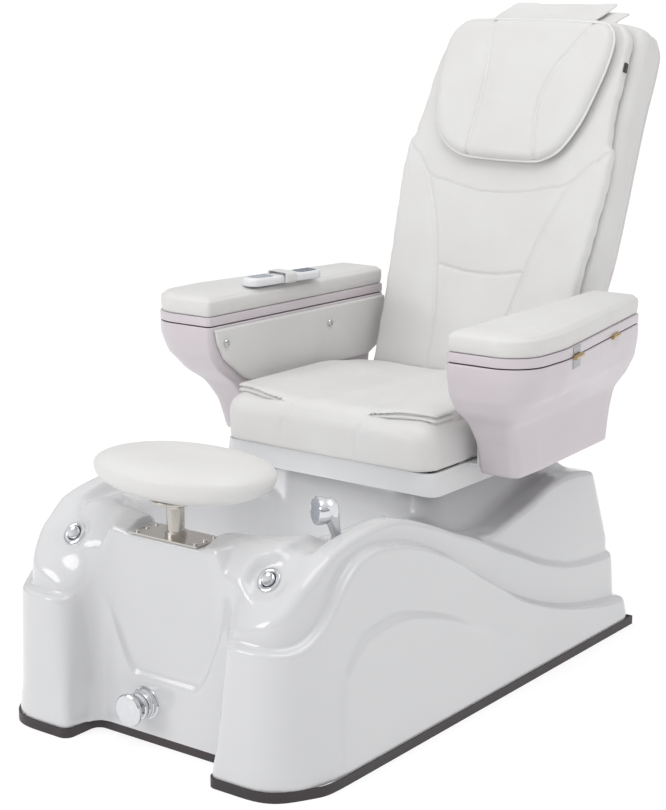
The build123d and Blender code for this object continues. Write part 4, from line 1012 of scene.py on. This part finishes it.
def make_remote():
    """Waisted case with two key panels, six round keys on each."""
    def field(x, y, z):
        waist = 2.2 * np.exp(-(x / 46) ** 2)
        plan = round_box(x, y, 112, 26.5 - waist, 24)
        return smax(smax(plan + 0.6, z - 19 - 1.2 * (x / 112) ** 2, 10), 0.3 - z, 5)

    shell = skin("remote_case", field, (-113, -28, 0), (113, 28, 21), fine(1.8), onto(REMOTE))
    finish(shell, REMOTE_WHITE, "remote", ["remote_shell"])
    for name, centre, length, m in (("remote_keys_front", -68, 60, LIGHT_GREY),
                                    ("remote_keys_rear", 70, 56, GREY)):
        levels = ((1.0, 16), (1.0, 19.6), (0.97, 20.3), (0.9, 20.5))
        pieces = [tile(name, REMOTE, (centre, 0), length / 2, 18, 11, levels, 9, 7)]
        for i in (-1, 0, 1):
            for j in (-1, 1):
                at = onto(REMOTE)([(centre + 17 * i, 8.5 * j, 20.2)])[0]
                key = plane(at, (1, 0, 0), (0, 0, 1))
                pieces.append(lathe("key", [(0, 0), (5.2, 0), (5.2, 0.8), (4.2, 1.4), (0, 1.1)], key, 24))
        finish(join(name, pieces), m, "remote", ["remote_panels"])


def make_buckle():
    levels = ((0.9, 0.4), (1, 1.2), (1, 4.6), (0.88, 5.6))
    buckle = tile("strap_buckle", REMOTE, (4, 38), 9, 12, 4, levels)
    finish(buckle, BLACK, "lid_right")


# ---------------- footrest and fittings
PAD_CENTRE, PAD_LOW, PAD_WAIST, PAD_TOP = (12, -641), 503, 557, 589


def make_footrest_pad():
    """Oval pad, fuller above its widest line than below it."""
    def field(x, y, z):
        x, y = x - PAD_CENTRE[0], y - PAD_CENTRE[1]
        oval = ((np.abs(x) / 200) ** 2.15 + (np.abs(y) / 130) ** 2.15) ** (1 / 2.15)
        upper = oval**3.2 + np.maximum(z - PAD_WAIST, 0) ** 2.4 / (PAD_TOP - PAD_WAIST) ** 2.4 - 1
        lower = oval**2.6 + np.maximum(PAD_WAIST - z, 0) ** 2.1 / (PAD_WAIST - PAD_LOW) ** 2.1 - 1
        dip = 5 * np.exp(-(x / 120) ** 2 - (y / 75) ** 2)
        body = np.maximum(upper, lower) * 30
        return smax(smax(body, PAD_LOW + 0.5 - z, 4), z - PAD_TOP + dip, 14)

    cushion("footrest_cushion", field, (-190, -772, PAD_LOW), (213, -510, PAD_TOP), fine(4.5),
            "footrest_pad", ["footrest_pad"])


POST = plane((0, -655, 0), (1, 0, 0), (0, 0, 1))


def make_footrest_post():
    """Tube with a shallow groove near its top, as tall as its CAD node."""
    low, high = (np.array(p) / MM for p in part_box("footrest_post"))
    top, foot = high[2], low[2]
    profile = [(0, foot), (16, foot), (17.5, foot + 1.5), (17.5, top - 14), (17.2, top - 13),
               (17.2, top - 11), (17.5, top - 10), (17.5, top - 0.6), (16.8, top - 0.1), (0, top - 0.1)]
    turned("footrest_tube", profile, POST, STAINLESS, "footrest_post", ["footrest_post"])


def make_footrest_flange():
    profile = [(0, 495.4), (49, 495.4), (50.6, 496.4), (51, 498.6), (50, 501.6), (48, 502.6), (0, 502.6)]
    turned("footrest_flange", profile, POST, STAINLESS, "footrest_pad", ["footrest_plate"])


def make_button(side):
    """Cap of an air button, and its bezel, which is returned to be joined with the other one."""
    name = "air_button_" + side_name(side)
    spot = plane((side * BUTTON[0], BUTTON[1], BUTTON[2]), (1, 0, 0), BUTTON_AIM)
    turned(name + "_cap", [(0, -5), (13.4, -5), (13.4, 5.6), (12.6, 7.4), (11.4, 8), (9.4, 7.1), (5, 6.4),
                           (0, 6.2)], spot, CHROME, name, [name])
    return lathe(name + "_bezel", [(15, -3), (25, -1), (25, 1.6), (24, 3.4), (22.2, 4.2), (18.6, 4.0),
                                   (16.2, 2.6), (15, 0.6), (15, -3)], spot)


def make_mixer():
    """Wall plate, knob and round handle of the water mixer."""
    spot = plane((-50, -695, 82), (1, 0, 0), (0, -1, 0))
    turned("mixer_plate", [(0, 0.2), (34, 0.2), (34, 2.6), (33, 4.2), (30.5, 5.0), (30, 7), (30, 12),
                           (29, 13.4), (29, 20.4), (27.6, 22.6), (0, 22.8)],
           spot, CHROME, "base", ["mixer_body"])
    turned("mixer_knob", [(0, 23.3), (26, 23.3), (27, 24.3), (27, 30), (25, 32.6), (14, 36), (0, 36.2)],
           spot, CHROME, "mixer_cap", ["mixer_cap"])
    turned("mixer_handle", [(0, 39.4), (7.4, 39.4), (7.4, 46), (10, 47.5), (30, 47.8), (32.6, 49.4),
                            (33, 52), (32.4, 54.8), (30, 56.4), (24, 55.6), (10, 54.4), (0, 54.2)],
           spot, CHROME, "mixer_lever", ["mixer_lever"])


SPRAY_AIM = (-0.52, -0.85, 0.08)


def make_spray():
    """Hand shower in its collar: a waisted neck, and a bowl with two rings of nozzles."""
    spot = plane((290, -517, 428), (1, 0, 0), (0, -0.35, 0.937))
    turned("spray_collar", [(16.4, -2), (23.5, -1), (23.5, 4), (22, 6.6), (19, 8), (17, 7.4), (16.4, 5),
                            (16.4, -2)], spot, CHROME, "base", ["spray_socket"])
    neck = lathe("spray_neck", [(0, 8.6), (12, 8.6), (13, 10), (13, 14), (10.4, 17), (10, 26), (12.4, 46),
                                (16, 66), (17.6, 82), (16, 94), (9, 101), (0, 103)], spot)
    centre = onto(spot)([(-13, -6, 78)])[0]
    aimed = plane(centre, (0, 0, 1), SPRAY_AIM)
    head = lathe("spray_bowl", [(0, -20), (12, -19), (21, -14), (26, -6), (28, 3), (28, 10), (27, 14),
                                (24.6, 15.6), (22.8, 14.4), (0, 14.0)], aimed)
    finish(join("hand_shower", [neck, head]), CHROME, "spray_head", ["spray_head"])
    face = [lathe("spray_face", [(0, 14.2), (22.6, 14.2), (22, 15.2), (0, 15.6)], aimed)]
    for x, y in around((6, 8), (12, 15.5)):
        nozzle = plane(onto(aimed)([(x, y, 15.3)])[0], (0, 0, 1), SPRAY_AIM)
        face.append(lathe("nozzle", [(0, 0), (1.5, 0), (1.1, 1.6), (0, 1.8)], nozzle, 12))
    finish(join("spray_nozzles", face), LIGHT_GREY, "spray_head")


def make_strainer():
    """Rim and plate over the drain, with rings of small bosses."""
    spot = plane((0, DRAIN_Y, BASIN_FLOOR), (1, 0, 0), (0, 0, 1))
    rim = [(24, 0.3), (34, 0.3), (34, 1.4), (31, 3), (26, 2.6), (24, 1.4), (24, 0.3)]
    plate = [(0, 0.6), (24.4, 0.6), (24.4, 1.8), (0, 2.6)]
    pieces = [lathe("rim", rim, spot), lathe("plate", plate, spot)]
    for x, y in around((1, 0), (6, 9), (12, 18)):
        at = plane((x, DRAIN_Y + y, BASIN_FLOOR + 2), (1, 0, 0), (0, 0, 1))
        pieces.append(lathe("boss", [(0, 0), (2.6, 0), (2.0, 0.9), (0, 0.7)], at, 12))
    finish(join("drain_grid", pieces), STAINLESS, "base", ["drain_strainer"])


def make_bolts():
    """Slotted bolt heads on both armrest linings."""
    head = [(0, -1), (9, -1), (9, 2.2), (8, 3.6), (4.4, 4.4), (3.6, 2.6), (0, 2.6)]
    pieces = []
    for side in (-1, 1):
        for y, z in LINING_BOLTS:
            spot = plane((side * (arm_inner(y) - LINING + 0.2), y, z), (0, 1, 0), (-side, 0, 0))
            pieces.append(lathe("bolt", head, spot, 36))
            ring = np.array([(-8, -1.1), (8, -1.1), (8, 1.1), (-8, 1.1)], float)
            bar = [onto(spot)(level(ring, h)) for h in (3.0, 4.9)]
            pieces.append(loft("bar", bar))
    finish(join("lining_bolts", pieces), CHROME, "seat", ["armrest_bolts"])


# ---------------- pieces kept from the frame
KEPT = {
    TRIM: ["kick_trim"],
    FRAME_STEEL: ["base_frame", "seat_frame", "back_frame"],
    ZINC: ["slide_rails", "slide_runners", "pedestal_plate", "massage_rods", "hinge_shaft", "recline_rod"],
    BLACK: ["slide_actuator", "recline_cylinder", "leveling_feet", "jet_pump", "massage_carriage",
            "seat_board"],
    PVC: ["drain_pipe", "water_inlets"],
    STAINLESS: ["footrest_bracket"],
    CHROME: ["footrest_screws"],
    LEAF: ["lid_leaves_left", "lid_leaves_right", "hinge_leaves"],
    BRASS: ["hinge_pins"],
    TRAY: ["seat_tray", "armrest_bars"],
    VINYL: ["remote_strap"],
    RUBBER: ["massage_rollers_upper", "massage_rollers_lower"]}
EDGES = {"seat_tray": 5.0, "kick_trim": 2.0, "footrest_bracket": 0.8, "footrest_screws": 1.2,
         "remote_strap": 1.2, "massage_carriage": 2.0, "jet_pump": 2.5, "massage_rollers_upper": 3.0,
         "massage_rollers_lower": 3.0, "leveling_feet": 2.0}      # bevel widths
HINGE_AXIS = (499, 729, 0.192)     # distance from the middle at y 0, height, drift with y


def dress_kept():
    """Materials for the CAD meshes that stay in view, and a bevel for those listed in EDGES."""
    for m, names in KEPT.items():
        for name in names:
            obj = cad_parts[name]
            obj.data.materials.clear()
            obj.data.materials.append(m)
            if name not in EDGES:
                continue
            bevel = obj.modifiers.new("Edge", "BEVEL")
            bevel.width = EDGES[name] * MM
            bevel.segments = 3
            bevel.limit_method = "ANGLE"
            bevel.angle_limit = math.radians(40)


def brass_barrels():
    """Gives the rolled knuckles of the hinges their brass finish."""
    reach, top, slope = HINGE_AXIS
    for name in ("hinge_leaves", "lid_leaves_left", "lid_leaves_right"):
        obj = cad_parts[name]
        obj.data.materials.append(BRASS)
        for face in obj.data.polygons:
            x, y, z = obj.matrix_world @ face.center / MM
            if math.hypot(abs(x) - reach + slope * y, z - top) < 6.4:
                face.material_index = 1


add_camera()
add_sky()
add_disc_lamp("Key", (-1.9, -3.9, 2.1), (0, 0, 0.6), 2.0, 42)
add_disc_lamp("Top", (1.0, -1.0, 3.8), (0.1, 0, 0.5), 2.4, 28)
add_basin_lamp()
add_floor()
bpy.context.scene.view_settings.view_transform = "Standard"

make_tub()
make_seat_cushion()
make_back_body()
make_back_shell()
make_back_cover()
make_pillow()
make_top_flaps()
make_back_tag()
for SIDE in (-1, 1):
    make_wing(SIDE)
    make_arm_shell(SIDE)
    make_lid_frame(SIDE)
    make_lid_pad(SIDE)
    make_arm_panel(SIDE)
make_remote()
make_buckle()
make_footrest_pad()
make_footrest_post()
make_footrest_flange()
BEZELS = join("bezel_rings", [make_button(SIDE) for SIDE in (-1, 1)])
finish(BEZELS, CHROME, "base", ["button_bezels"])
make_mixer()
make_spray()
make_strainer()
make_bolts()
dress_kept()
brass_barrels()

bpy.context.view_layer.update()
